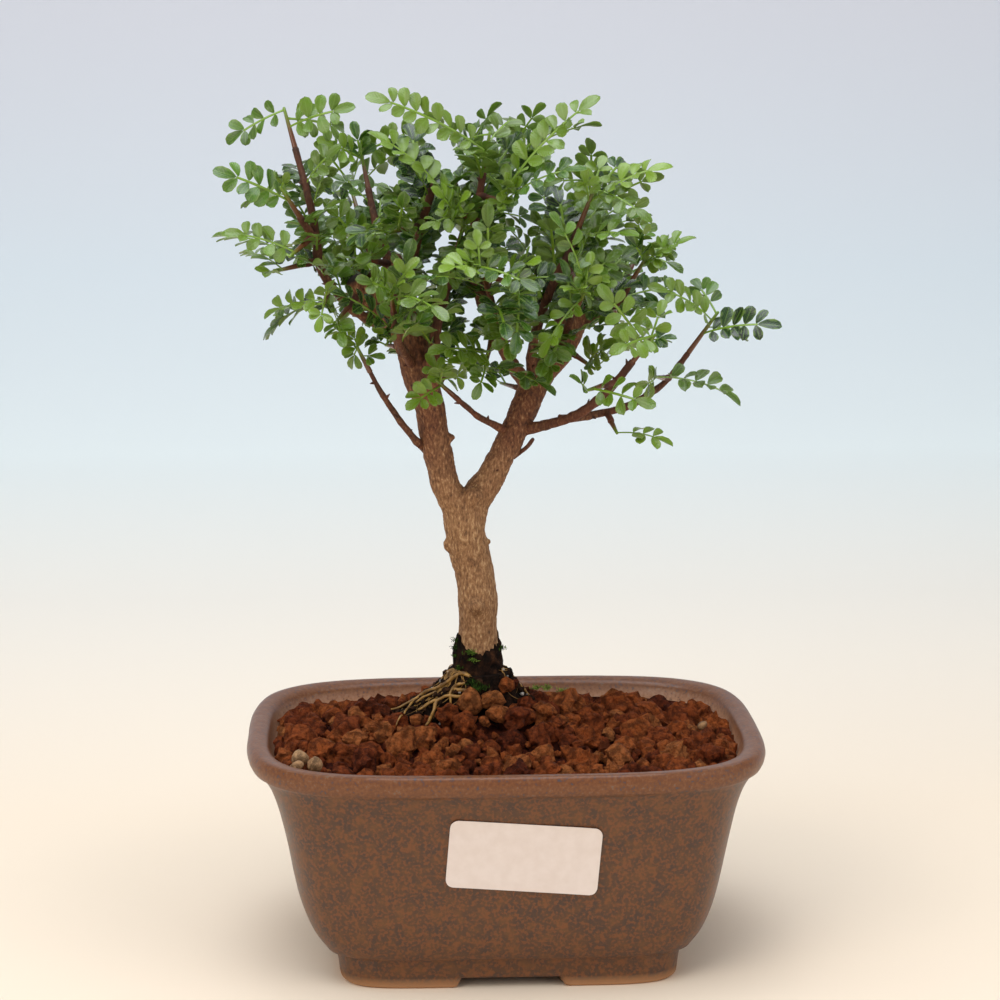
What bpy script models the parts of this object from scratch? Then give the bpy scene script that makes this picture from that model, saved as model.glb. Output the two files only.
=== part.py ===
"""Chinese pepper bonsai in a glazed rounded-rectangular pot.

The pot is a fired bowl on a recessed foot band. It holds clay granules, and in them the
dark peat plug that the plant was raised in. The woody plant is one piece: a stump in the
plug, a trunk that forks into two limbs with cut ends, and its twigs. Each green shoot
with its pinnate fronds is a piece of its own at the end of a twig or spur.

Lengths are in millimetres in the named values and become metres where a mesh is made.
The origin is under the middle of the whole plant and pot, with +Z up and -Y the front.
"""

import math
from dataclasses import dataclass

import bmesh
import bpy
import numpy as np
from mathutils import Matrix, Vector

MM = 0.001
CLEARANCE = 0.3

# Pot
RIM_HALF_LENGTH = 70.3
RIM_HALF_DEPTH = 52.5
RIM_SQUARENESS = 3.8
POT_HEIGHT = 61.8
FOOT_HALF_LENGTH = 47.0
FOOT_HALF_DEPTH = 40.5
FOOT_SQUARENESS = 7.0
FOOT_HEIGHT = 8.0
FOOT_WALL = 7.0
FOOT_DRAFT = 1.5
UNDERSIDE = 4.5
FLOOR_TOP = 10.5
OUTLINE_POINTS = 24
CUTOUT_LENGTH = 28.0
SIDE_CUTOUT_LENGTH = 22.0
CUTOUT_HEIGHT = 3.0
CUTOUT_BEVEL = 1.6
DRAIN_RADIUS = 6.0
DRAIN_OFFSET = 22.0

# How far the outer wall stands out at each height, from foot to lip
OUTER_WALL = (
    (0.0, 46.0),
    (FOOT_HEIGHT, FOOT_HALF_LENGTH),
    (9.0, 50.0),
    (13.5, 53.3),
    (20.0, 56.0),
    (28.0, 58.0),
    (37.0, 59.8),
    (46.0, 62.0),
    (52.0, 64.3),
    (55.6, 67.0),
    (56.6, 69.2),
    (59.0, RIM_HALF_LENGTH),
    (61.0, 69.4),
    (POT_HEIGHT, 67.6),
)

# How thick the wall is at each height, from lip to floor
INNER_WALL = (
    (61.0, 4.6),
    (57.4, 6.4),
    (46.0, 4.6),
    (28.0, 4.6),
    (16.0, 5.4),
    (FLOOR_TOP, 8.5),
)

# Drain mesh
MESH_HALF = 11.0
MESH_THICKNESS = 1.0
MESH_OPENINGS = 3
MESH_BAR = 1.6

# Soil and root ball
SOIL_EDGE = 57.0
SOIL_CROWN = 9.0
SOIL_SPREAD_X, SOIL_SPREAD_Y = 45.0, 28.0
SOIL_POINTS = 44
SOIL_RINGS = 5
GRANULE_HEIGHT = 2.2
FILL_GAP = CLEARANCE + 0.1
PLUG_X, PLUG_Y = -11.0, 6.0
PLUG_HALF_LENGTH = 22.0
PLUG_HALF_DEPTH = 12.5
PLUG_BOTTOM = 24.0
PLUG_TAPER = 0.8
PLUG_POINTS = 20
COLLAR_RADIUS = 8.6
STUMP_X, STUMP_Y = -7.0, 5.0
STUMP_RADIUS = 6.3
STUMP_BOTTOM = 50.0
STUMP_GAP = 0.6
ROOT_START = 0.05
ROOT_RADII = (1.5, 0.7)

# Height of the plug's top from its rim, at 1, to the collar round the stump, at 0
PLUG_TOP = ((1.0, 63.6), (0.7, 66.5), (0.4, 69.6), (0.12, 73.4), (0.0, 76.0))

# Surface roots: heading in degrees, how far they reach between collar and rim, and bend
ROOTS = (
    (160, 0.93, -0.25),
    (185, 0.96, 0.12),
    (206, 0.95, -0.12),
    (224, 0.90, 0.25),
    (352, 0.85, -0.30),
)

# Label
LABEL_LENGTH = 40.0
LABEL_HEIGHT = 19.0
LABEL_CORNER = 2.2
LABEL_THICKNESS = 0.3
LABEL_X, LABEL_Z = 2.9, 38.6
LABEL_TILT = math.radians(4.5)

# Twigs and green shoots
TWIG_STEP = 9.0
ROUTE_STEP = 2.0
SPUR_RADIUS = 1.05
SPUR_TIP_RADIUS = 0.85
SHOOT_RADIUS = 1.1
SHOOT_LENGTH = 2.5
SHOOT_LENGTH_PER_FROND = 2.8

# Fronds
BLADE = 0.7
RACHIS_WIDTH = 1.2
RACHIS_ROOT_WIDTH = 0.7
FROND_ARCH = 0.09
FROND_HALF_WIDTH = 7.6
LEAFLET_LENGTH = 8.8
LEAFLET_WIDTH = 6.2
LEAFLET_ANGLE = math.radians(64)
LEAFLET_LIFT = math.radians(16)
LEAFLET_GRIP = 0.75
TERMINAL_LENGTH = 9.5
TERMINAL_WIDTH = 4.6
TWO_PAIRS_FROM = 21.0
THREE_PAIRS_FROM = 38.0

# Room that a frond keeps to what is round it
BLADE_MARGIN = 3.3
OWN_MARGIN = 2.4
TWIG_MARGIN = 2.0
FREE_SHARE = 0.35
FREE_RADIUS = 5.0
GOLDEN_ANGLE = math.pi * (3 - math.sqrt(5))
RULE_LENGTHS = (21.0, 29.0)
SEED = 7
CROWN_CENTRE = np.array((-6.0, 0.0, 192.0))
CROWN_REACH = np.array((66.0, 58.0, 41.0))

# The middle of the whole object's box, seen from the pot's own middle
CENTRE = Vector((-1.8, -0.2, 0.0))

# Routes of the woody parts from the pot's middle: x, y, z and radius
WOOD = {
    "trunk": (
        (STUMP_X, STUMP_Y, STUMP_BOTTOM + CLEARANCE, STUMP_RADIUS),
        (-7, 5, 64, STUMP_RADIUS),
        (-6.6, 5, 76.5, 6.2),
        (-7, 5, 84, 5.1),
        (-7, 4, 96, 5.0),
        (-8.4, 4, 106, 5.1),
        (-11, 3, 118, 5.5),
        (-11, 3, 123, 5.2),
    ),
    "left_limb": (
        (-10, 3, 114, 4.4),
        (-12.8, 2, 123, 4.4),
        (-15.6, 1, 128, 3.9),
        (-18.6, 0, 141, 3.9),
        (-20.4, -1, 152, 3.9),
        (-23, -1, 159, 4.4),
        (-25, -2, 168, 4.4),
        (-27, -2, 172, 4.0),
    ),
    "right_limb": (
        (-10, 3, 115, 4.6),
        (-7.4, 4, 124, 4.2),
        (-3, 4, 131, 3.8),
        (2.2, 6, 141, 3.6),
        (8, 8, 153, 3.7),
        (12, 10, 159, 3.7),
        (16.5, 11, 165, 3.7),
        (19, 12, 170, 3.7),
        (21, 14, 177, 3.4),
        (22, 15, 183, 3.4),
    ),
    "left_stub": ((-25, -2, 169, 3.6), (-32, -4, 177, 3.4), (-38, -7, 183, 3.0), (-40, -8, 186, 2.8)),
    "left_leader": ((-25, -2, 168, 3.8), (-27, 1, 175, 3.4), (-28, 4, 182, 3.1), (-30, 7, 190, 2.9)),
    "upper_left": ((-29, 6, 187, 1.5), (-32, 7, 192, 1.3), (-34, 8, 198, 1.1), (-36, 12, 208, 0.9)),
    "mid_left": ((-27, 3, 180, 1.6), (-25, 0, 186, 1.3), (-23, -5, 197, 1.2), (-19, -9, 211, 1.1)),
    "far_left": (
        (-32, -3, 174, 1.7),
        (-36, -7, 175, 1.5),
        (-43, -11, 181, 1.3),
        (-49, -14, 190, 1.2),
        (-50, -16, 199, 1.1),
        (-52, -17, 210, 1.0),
        (-55, -14, 221, 0.9),
    ),
    "far_left_side": ((-50, -16, 197, 1.1), (-54, -21, 204, 0.9)),
    "knuckle_twig": ((-22, -3, 160, 2.2), (-19, -7, 165, 1.8), (-18, -9, 175, 1.5), (-13, -11, 194, 1.1)),
    "top_centre": (
        (7, 7, 155, 2.2),
        (2, 2, 162, 1.9),
        (-2, -2, 171, 1.7),
        (-8, -8, 185, 1.6),
        (-9, -8, 193, 1.4),
        (-8, -8, 201, 1.2),
        (-6, -10, 214, 1.0),
    ),
    "centre_back": ((-4, -4, 175, 1.2), (-5, 1, 182, 1.0), (-6, 6, 192, 0.8)),
    "right_low": (
        (6, 6, 143, 2.0),
        (12, 2, 145, 1.5),
        (18, -4, 148, 1.4),
        (26, -11, 155, 1.2),
        (33, -18, 165, 1.1),
    ),
    "right_long": (
        (15, -1, 147, 1.3),
        (22, 2, 147, 1.1),
        (32, 4, 149, 1.1),
        (40, 4, 153, 1.0),
        (45, 4, 157, 0.9),
        (50, 3, 164, 0.8),
    ),
    "upper_right": (
        (8, 8, 157, 1.6),
        (8, 4, 166, 1.4),
        (11, -5, 180, 1.3),
        (16, -11, 192, 1.1),
        (19, -13, 200, 0.9),
    ),
    "bare_twig": ((-21, 1, 138, 1.1), (-27, -7, 146, 0.9), (-33, -12, 156, 0.8), (-36, -14, 162, 0.6)),
    "cross_twig": ((2, 6, 142, 1.2), (-7, -2, 148, 0.9), (-14, -9, 155, 0.7)),
    "dead_twig": ((3, 8, 135, 0.8), (6, 4, 138, 0.6), (8, 2, 141, 0.5)),
    "riser": ((19, 12, 169, 1.7), (26, 11, 173, 1.3), (31, 8, 177, 1.1), (34, 6, 182, 0.9)),
    "rear_left": ((-25, -1, 167, 1.9), (-30, 10, 177, 1.5), (-35, 19, 187, 1.2), (-38, 26, 197, 0.9)),
    "rear_centre": ((-28, 5, 183, 1.7), (-24, 14, 190, 1.3), (-17, 23, 199, 1.1), (-13, 29, 206, 0.9)),
    "rear_right": ((17, 11, 166, 1.8), (16, 20, 174, 1.4), (18, 28, 184, 1.1), (22, 34, 193, 0.9)),
    "rear_far_right": ((21, 14, 176, 1.6), (27, 18, 178, 1.3), (33, 22, 180, 1.1), (36, 25, 184, 0.9)),
    "rear_low": ((-22, -1, 155, 1.5), (-26, 10, 162, 1.2), (-27, 21, 171, 0.9)),
    "front_left": ((-24, -2, 161, 1.5), (-27, -11, 167, 1.2), (-29, -19, 173, 1.0), (-30, -26, 180, 0.8)),
    "front_centre": ((-2, -2, 171, 1.3), (-3, -11, 176, 1.1), (-4, -20, 181, 0.9), (-6, -27, 187, 0.8)),
    "front_right": ((12, 9, 160, 1.5), (15, -2, 167, 1.2), (16, -12, 173, 1.0), (18, -22, 180, 0.8)),
    "top_rear": ((-9, -8, 192, 1.1), (-4, 3, 200, 1.0), (0, 13, 209, 0.8)),
}

# Tube detail by the thickest radius of a route: Blender's bevel resolution
THICK_WOOD = ((5.0, 3), (2.5, 2), (1.65, 1), (0.0, 0))

# Knobs, pruning scars and thorns: middle, tip and the two radii
KNOBS = (
    ((-7, 4, 92), (-7.5, -2.2, 96), 2.4, 1.5),
    ((-9, 4, 107), (-15.5, 2, 112.5), 2.6, 1.3),
    ((-10, 3, 115), (-3.8, 2.5, 112.5), 1.5, 0.6),
    ((-12, 3, 119), (-8, -1, 126.8), 3.2, 2.0),
    ((-22, -1, 155), (-17.5, -5.5, 161), 3.4, 2.4),
    ((-18, 0, 139), (-13.8, -1, 142.5), 1.5, 0.8),
)

# Leafy shoots: woody part, end of its twig or spur, how many fronds the rule adds, and the
# tips of the other fronds with how far in degrees each blade turns from level to the front
SHOOTS = {
    "apex": ("top_centre", (-6, -10, 214), 0, (-37, -14, 235, 55), (4, 2, 228, 40), (-13, 3, 219, 60)),
    "apex_right": ("top_centre", (-5, -12, 208), 0, (24, -19, 235, 40), (20, -27, 217, 25)),
    "apex_left": ("top_centre", (-10, -12, 203), 0, (-35, -22, 227, 10), (-21, -29, 212, 50)),
    "crown_left": (
        ("far_left", (-55, -14, 221), 0)
        + ((-39, -20, 232, 60), (-42, 0, 225, 70), (-73, -10, 222, 55))
    ),
    "far_left_high": (
        ("far_left_side", (-54, -21, 204), 0) + ((-76, -28, 217, 65), (-67, -9, 206, 5), (-56, -33, 217, 60))
    ),
    "far_left_mid": ("far_left", (-53, -22, 197), 0, (-74, -30, 201, 45), (-77, -14, 198, 20)),
    "far_left_low": ("far_left", (-54, -17, 191), 0, (-70, -7, 193, 10), (-63, -29, 189, 20)),
    "left_low": (
        ("far_left", (-47, -19, 184), 0) + ((-65, -23, 182, 25), (-68, -8, 177, 35), (-50, -31, 175, 75))
    ),
    "stub_left": ("left_stub", (-42, -13, 179), 0, (-51, -31, 177, 60)),
    "limb_left": ("left_limb", (-29, 6, 166), 0, (-36, 18, 166, 60)),
    "bare_tip": ("bare_twig", (-36, -14, 162), 0, (-32, -17, 166, 40), (-41, -13, 163, 40)),
    "upper_left": (
        ("upper_left", (-36, 12, 208), 0) + ((-40, 16, 226, 75), (-50, 4, 222, 70), (-21, 19, 225, 80))
    ),
    "inner_left": ("left_leader", (-34, -1, 190), 1, (-53, -18, 205, 60), (-36, -28, 203, 50)),
    "mid_left": ("mid_left", (-25, -10, 200), 1, (-31, -31, 212, 50), (-12, -33, 205, 45)),
    "knuckle": ("knuckle_twig", (-13, -11, 194), 0, (-10, -33, 188, 80), (-32, -29, 198, 30)),
    "back_centre": ("centre_back", (-6, 6, 192), 0, (-4, 13, 204, 60), (-16, 18, 205, 60), (10, 18, 198, 40)),
    "centre_right": ("top_centre", (-4, -14, 187), 1, (7, -36, 194, 50), (16, -26, 188, 40)),
    "centre_front": ("top_centre", (-4, -9, 169), 1, (-21, -30, 170, 50), (-11, -26, 158, 85)),
    "cross_twig": ("cross_twig", (-14, -9, 155), 0, (-27, -21, 153, 60), (-17, 0, 161, 60)),
    "right_end": ("right_low", (33, -18, 165), 0, (20, -28, 186, 50), (44, -24, 172, 30), (25, -38, 172, 60)),
    "right_tip": (
        ("right_long", (50, 3, 164), 0)
        + ((74, -8, 173, 50), (67, 11, 166, 30), (38, -8, 184, 45), (52, 12, 183, 60))
    ),
    "right_mid": ("right_long", (43, -1, 158), 0, (63, -13, 153, 20), (28, -17, 158, 70)),
    "right_under": ("right_long", (29, -1, 146), 0, (45, -10, 141, 20)),
    "right_fork": ("right_low", (25, -20, 159), 0, (36, -38, 162, 60), (15, -31, 163, 40)),
    "upper_right": (
        ("upper_right", (19, -13, 200), 0)
        + ((43, -20, 217, 30), (32, -1, 217, 75), (38, -27, 205, 10), (9, -26, 218, 50))
    ),
    "upper_right_low": ("upper_right", (17, -14, 188), 1, (28, -33, 194, 40), (32, -14, 199, 50)),
    "upper_right_back": (
        ("upper_right", (13, 3, 190), 0) + ((27, 9, 205, 70), (6, 8, 208, 70), (17, 0, 213, 75))
    ),
    "riser": ("riser", (34, 6, 182), 0, (57, 2, 187, 15), (32, -5, 197, 65), (45, 16, 188, 30)),
    "limb_right": ("right_limb", (20, 6, 163), 1, (29, -14, 170, 60)),
    "limb_back": ("right_limb", (4, 16, 153), 1, (-2, 28, 158, 60)),
    "rear_left": ("rear_left", (-38, 26, 197), 4),
    "rear_left_low": ("rear_left", (-35, 14, 184), 3),
    "rear_centre": ("rear_centre", (-13, 29, 206), 4),
    "rear_centre_low": ("rear_centre", (-23, 22, 190), 3),
    "rear_right": ("rear_right", (22, 34, 193), 4),
    "rear_right_low": ("rear_right", (14, 27, 176), 3),
    "rear_far_right": ("rear_far_right", (36, 25, 184), 0, (51, 20, 186, 20), (41, 37, 197, 60)),
    "rear_far_right_low": ("rear_far_right", (32, 24, 176), 3),
    "rear_low": ("rear_low", (-27, 21, 171), 3),
    "front_left": ("front_left", (-30, -26, 180), 0, (-17, -54, 182, 35), (-38, -44, 190, 45)),
    "front_centre": ("front_centre", (-6, -27, 187), 0, (-21, -44, 189, 35), (6, -46, 190, 35)),
    "front_right": ("front_right", (18, -22, 180), 0, (8, -31, 168, 20), (10, -31, 206, 20)),
    "top_rear": ("top_rear", (0, 13, 209), 4),
    "limb_top": ("right_limb", (16, 20, 181), 3),
}


# Meshes

def clear_scene():
    """Remove every object of the open scene."""
    for obj in list(bpy.data.objects):
        bpy.data.objects.remove(obj, do_unlink=True)


def collection(name, hidden=False):
    """Return a new collection in the scene, left out of renders when hidden."""
    group = bpy.data.collections.new(name)
    group.hide_render = hidden
    bpy.context.scene.collection.children.link(group)
    return group


def material(name, colour, roughness):
    """Return a Principled material with one colour, given as sRGB."""
    made = bpy.data.materials.new(name)
    made.use_nodes = True
    shader = made.node_tree.nodes["Principled BSDF"]
    linear = [((c + 0.055) / 1.055) ** 2.4 if c > 0.04045 else c / 12.92 for c in colour]
    shader.inputs["Base Color"].default_value = (*linear, 1)
    shader.inputs["Roughness"].default_value = roughness
    shader.inputs["Metallic"].default_value = 0.0
    return made


def new_object(name, data, group, finish=None):
    """Link a mesh or curve to a collection as an object with its material."""
    obj = bpy.data.objects.new(name, data)
    group.objects.link(obj)
    if finish:
        obj.data.materials.clear()
        obj.data.materials.append(finish)
    return obj


def mesh_of(shape, name):
    """Turn a bmesh in millimetres into a mesh in metres."""
    bmesh.ops.scale(shape, vec=(MM, MM, MM), verts=shape.verts)
    mesh = bpy.data.meshes.new(name)
    shape.to_mesh(mesh)
    shape.free()
    return mesh


def evaluated_mesh(obj):
    """Return the mesh of an object with its modifiers applied and its loose caps welded."""
    bpy.context.view_layer.update()
    graph = bpy.context.evaluated_depsgraph_get()
    mesh = bpy.data.meshes.new_from_object(obj.evaluated_get(graph))
    mesh.transform(obj.matrix_world)
    shape = bmesh.new()
    shape.from_mesh(mesh)
    bmesh.ops.remove_doubles(shape, verts=shape.verts, dist=1e-6)
    shape.to_mesh(mesh)
    shape.free()
    return mesh


def boolean(obj, operation, other):
    """Add a Boolean against an object or against a whole collection."""
    modifier = obj.modifiers.new(operation.title(), "BOOLEAN")
    modifier.operation = operation
    if isinstance(other, bpy.types.Collection):
        modifier.operand_type = "COLLECTION"
        modifier.collection = other
    else:
        modifier.object = other
    return modifier


def fused(name, pieces, finish, group):
    """Join closed pieces into one solid with a single union, and remove the pieces."""
    holder = collection(name + "_pieces", hidden=True)
    for piece in pieces[1:]:
        piece.users_collection[0].objects.unlink(piece)
        holder.objects.link(piece)
    boolean(pieces[0], "UNION", holder)
    mesh = evaluated_mesh(pieces[0])
    for piece in pieces:
        bpy.data.objects.remove(piece, do_unlink=True)
    bpy.data.collections.remove(holder)
    return new_object(name, mesh, group, finish)


def loft(name, rings, group, finish=None):
    """Bridge rings of equal point count into a closed body, with a fan at each end."""
    shape = bmesh.new()
    loops = [[shape.verts.new(point) for point in ring] for ring in rings]
    count = len(loops[0])
    for low, high in zip(loops, loops[1:]):
        for i in range(count):
            j = (i + 1) % count
            shape.faces.new((low[i], low[j], high[j], high[i]))
    for loop in (loops[0], loops[-1]):
        middle = shape.verts.new(sum((v.co for v in loop), Vector()) / count)
        for i in range(count):
            shape.faces.new((loop[i], loop[(i + 1) % count], middle))
    bmesh.ops.recalc_face_normals(shape, faces=shape.faces)
    return new_object(name, mesh_of(shape, name), group, finish)


def box(name, low, high, group, finish=None):
    """Return a box between two corners."""
    shape = bmesh.new()
    bmesh.ops.create_cube(shape, size=1.0)
    bmesh.ops.scale(shape, vec=[h - l for l, h in zip(low, high)], verts=shape.verts)
    bmesh.ops.translate(shape, vec=[(h + l) / 2 for l, h in zip(low, high)], verts=shape.verts)
    return new_object(name, mesh_of(shape, name), group, finish)


def cutter(obj):
    """Hide a cutting body from renders and show it as wires."""
    obj.display_type = "WIRE"
    obj.hide_render = True
    return obj


def tube(name, points, radii, group, bevel_resolution=1):
    """Return a capped mesh tube along points, with a radius at each."""
    curve = bpy.data.curves.new(name, "CURVE")
    curve.dimensions = "3D"
    curve.bevel_depth = MM
    curve.bevel_resolution = bevel_resolution
    curve.use_fill_caps = True
    spline = curve.splines.new("POLY")
    spline.points.add(len(points) - 1)
    for point, place, radius in zip(spline.points, points, radii):
        point.co = (*(c * MM for c in place), 1)
        point.radius = radius
    guide = new_object(name, curve, group)
    mesh = evaluated_mesh(guide)
    bpy.data.objects.remove(guide, do_unlink=True)
    return new_object(name, mesh, group)


def smooth_route(route, step):
    """Return points and radii along a Catmull-Rom curve through a route, about step apart."""
    rows = np.array(route, float)
    padded = np.vstack((2 * rows[0] - rows[1], rows, 2 * rows[-1] - rows[-2]))
    found = []
    for a, b, c, d in zip(padded, padded[1:], padded[2:], padded[3:]):
        bend = 2 * a - 5 * b + 4 * c - d
        twist = 3 * b - a - 3 * c + d
        steps = max(1, round(np.linalg.norm(c[:3] - b[:3]) / step))
        for t in np.arange(steps) / steps:
            found.append(0.5 * (2 * b + (c - a) * t + bend * t**2 + twist * t**3))
    found = np.array(found + [rows[-1]])
    return found[:, :3], found[:, 3]


# Pot, mesh, soil and root ball

def outer_reach(z):
    """Return how far the outer wall stands out along the pot's length at a height."""
    heights, reaches = zip(*OUTER_WALL)
    return float(np.interp(z, heights, reaches))


def depth_and_squareness(reach):
    """Return the half depth and the exponent of the outline that stands out by reach."""
    share = (reach - FOOT_HALF_LENGTH) / (RIM_HALF_LENGTH - FOOT_HALF_LENGTH)
    half_depth = FOOT_HALF_DEPTH + share * (RIM_HALF_DEPTH - FOOT_HALF_DEPTH)
    squareness = FOOT_SQUARENESS + share * (RIM_SQUARENESS - FOOT_SQUARENESS)
    return half_depth, squareness


def pot_ring(z, reach, inset=0.0):
    """Return the pot's outline at a height: a superellipse, its points closest at the corners."""
    half_depth, squareness = depth_and_squareness(reach)
    angles = (np.arange(OUTLINE_POINTS) + 0.5) * 2 * math.pi / OUTLINE_POINTS
    across, along = np.cos(angles), np.sin(angles)
    x = (reach - inset) * np.sign(across) * np.abs(across) ** (2 / squareness)
    y = (half_depth - inset) * np.sign(along) * np.abs(along) ** (2 / squareness)
    return np.column_stack((x, y, np.full(OUTLINE_POINTS, z)))


def inner_ring(z, gap=0.0):
    """Return the outline of the pot's inside at a height, drawn in by a gap."""
    heights, thicknesses = zip(*reversed(INNER_WALL))
    return pot_ring(z, outer_reach(z), float(np.interp(z, heights, thicknesses)) + gap)


def make_pot(group, cutters, finish):
    """Return the fired pot with its drain holes and the cut-outs between its feet."""
    foot_reach = outer_reach(0.0)
    rings = [pot_ring(UNDERSIDE, foot_reach, FOOT_WALL + FOOT_DRAFT), pot_ring(0.0, foot_reach, FOOT_WALL)]
    rings += [pot_ring(z, reach) for z, reach in OUTER_WALL]
    rings += [inner_ring(z) for z, _ in INNER_WALL]
    pot = loft("pot", rings, group, finish)
    for side in (-1, 1):
        bpy.ops.mesh.primitive_cylinder_add(
            vertices=20,
            radius=DRAIN_RADIUS * MM,
            depth=2 * FLOOR_TOP * MM,
            location=(side * DRAIN_OFFSET * MM, 0, FLOOR_TOP * MM / 2),
        )
        drill = bpy.context.object
        drill.name = f"drain_cutter_{side}"
        drill.users_collection[0].objects.unlink(drill)
        cutters.objects.link(drill)
        boolean(pot, "DIFFERENCE", cutter(drill))
    reach = RIM_HALF_LENGTH
    half, side_half = CUTOUT_LENGTH / 2, SIDE_CUTOUT_LENGTH / 2
    height = CUTOUT_HEIGHT
    slots = (
        box("front_foot_cutter", (-half, -reach, -height), (half, reach, height), cutters),
        box("side_foot_cutter", (-reach, -side_half, -height), (reach, side_half, height), cutters),
    )
    for slot in slots:
        bevel = slot.modifiers.new("Bevel", "BEVEL")
        bevel.width = CUTOUT_BEVEL * MM
        bevel.segments = 1
        boolean(pot, "DIFFERENCE", cutter(slot))
    return pot


def make_drain_mesh(name, x, group, cutters, finish):
    """Return a square of plastic mesh over one drain hole: a thin plate with square openings."""
    low = FLOOR_TOP + CLEARANCE
    high = low + MESH_THICKNESS
    plate = box(name, (x - MESH_HALF, -MESH_HALF, low), (x + MESH_HALF, MESH_HALF, high), group, finish)
    pitch = (2 * MESH_HALF - MESH_BAR) / MESH_OPENINGS
    size = pitch - MESH_BAR
    first = -MESH_HALF + MESH_BAR
    for i in range(MESH_OPENINGS):
        for j in range(MESH_OPENINGS):
            left, front = x + first + i * pitch, first + j * pitch
            hole = ((left, front, low - 1), (left + size, front + size, high + 1))
            boolean(plate, "DIFFERENCE", cutter(box(f"{name}_hole_{i}_{j}", *hole, cutters)))
    return plate


def resampled(ring, count):
    """Return count points spaced evenly round a closed ring."""
    closed = np.vstack((ring, ring[:1]))
    along = np.concatenate(([0], np.cumsum(np.linalg.norm(np.diff(closed, axis=0), axis=1))))
    places = np.arange(count) / count * along[-1]
    return np.column_stack([np.interp(places, along, closed[:, k]) for k in range(3)])


def granule_relief(x, y):
    """Return a pebbly height of 0 to GRANULE_HEIGHT from crossed waves about 14 mm long."""
    waves = np.sin(0.46 * x + 0.2 * y) * np.sin(0.44 * y - 0.25 * x + 1.3)
    finer = np.sin(0.8 * x - 0.5 * y + 0.6) * np.sin(0.75 * y + 0.45 * x)
    return GRANULE_HEIGHT * np.clip(0.5 + 0.45 * waves + 0.25 * finer, 0, 1)


def soil_height(x, y):
    """Return the smooth height of the soil, which rises towards the root ball."""
    spread = ((x - PLUG_X) / SOIL_SPREAD_X) ** 2 + ((y - PLUG_Y) / SOIL_SPREAD_Y) ** 2
    return SOIL_EDGE + SOIL_CROWN * np.exp(-spread)


def plug_outline(angles, inset=0.0, share=1.0):
    """Return x and y of the plug's oval rim at each angle."""
    x = PLUG_X + (PLUG_HALF_LENGTH * share - inset) * np.cos(angles)
    y = PLUG_Y + (PLUG_HALF_DEPTH * share - inset) * np.sin(angles)
    return np.column_stack((x, y))


def level(points, z):
    """Return flat points set at a height."""
    return np.column_stack((points, np.full(len(points), z)))


def make_soil(group, cutters, finish):
    """Return the granule fill: the pot's inside with a pebbly top and a pit for the plug."""
    between = [z for z, _ in reversed(INNER_WALL) if FLOOR_TOP < z < SOIL_EDGE]
    heights = (FLOOR_TOP + CLEARANCE, *between, SOIL_EDGE)
    rings = [resampled(inner_ring(z, FILL_GAP), SOIL_POINTS) for z in heights]
    edge = rings[-1]
    angles = np.arctan2(edge[:, 1] / RIM_HALF_DEPTH, edge[:, 0] / RIM_HALF_LENGTH)
    pit = level(plug_outline(angles), SOIL_EDGE)
    for k in range(1, SOIL_RINGS + 1):
        ring = edge + (pit - edge) * (k / SOIL_RINGS)
        x, y = ring[:, 0], ring[:, 1]
        ring[:, 2] = soil_height(x, y) + granule_relief(x, y)
        rings.append(ring)
    rings.append(level(plug_outline(angles, share=PLUG_TAPER), PLUG_BOTTOM))
    soil = loft("soil", rings, group, finish)
    reach = MESH_HALF + CLEARANCE
    top = FLOOR_TOP + MESH_THICKNESS + 2 * CLEARANCE
    for side in (-1, 1):
        x = side * DRAIN_OFFSET
        pocket = box(f"mesh_pocket_{side}", (x - reach, -reach, 0), (x + reach, reach, top), cutters)
        boolean(soil, "DIFFERENCE", cutter(pocket))
    return soil


def plug_surface(angles, shares):
    """Return points on the plug's top, from the stump's collar at share 0 to its rim at 1."""
    collar = np.column_stack((np.cos(angles), np.sin(angles))) * COLLAR_RADIUS + (STUMP_X, STUMP_Y)
    flat = collar + (plug_outline(angles, 2.5 * FILL_GAP) - collar) * np.reshape(shares, (-1, 1))
    known, heights = zip(*reversed(PLUG_TOP))
    return np.column_stack((flat, np.interp(shares, known, heights) * np.ones(len(angles))))


def make_root_ball(group, finish):
    """Return the peat plug with a plain hole for the stump and roots half sunk in it."""
    angles = np.arange(PLUG_POINTS) * 2 * math.pi / PLUG_POINTS
    rings = [level(plug_outline(angles, 3 * FILL_GAP, PLUG_TAPER), PLUG_BOTTOM + CLEARANCE)]
    lumps = 0.5 * np.sin(5 * angles) + 0.4 * np.cos(3 * angles + 1)
    for share, _ in PLUG_TOP:
        ring = plug_surface(angles, share)
        ring[:, 2] += lumps * math.sin(math.pi * share)
        rings.append(ring)
    hole = np.column_stack((np.cos(angles), np.sin(angles))) * (STUMP_RADIUS + STUMP_GAP)
    rings += [level(hole + (STUMP_X, STUMP_Y), z) for z in (PLUG_TOP[-1][1], STUMP_BOTTOM)]
    pieces = [loft("plug", rings, group)]
    for i, (heading, reach, bend) in enumerate(ROOTS):
        steps = np.linspace(0, 1, 4)
        shares = ROOT_START + (reach - ROOT_START) * steps
        points = plug_surface(math.radians(heading) + bend * np.sin(3 * steps), shares)
        points[:, 2] += 0.2 - ROOT_RADII[0] * steps**8
        pieces.append(tube(f"root_{i}", points, np.interp(steps, (0, 1), ROOT_RADII), group, 0))
    return fused("root_ball", pieces, finish, group)


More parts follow.
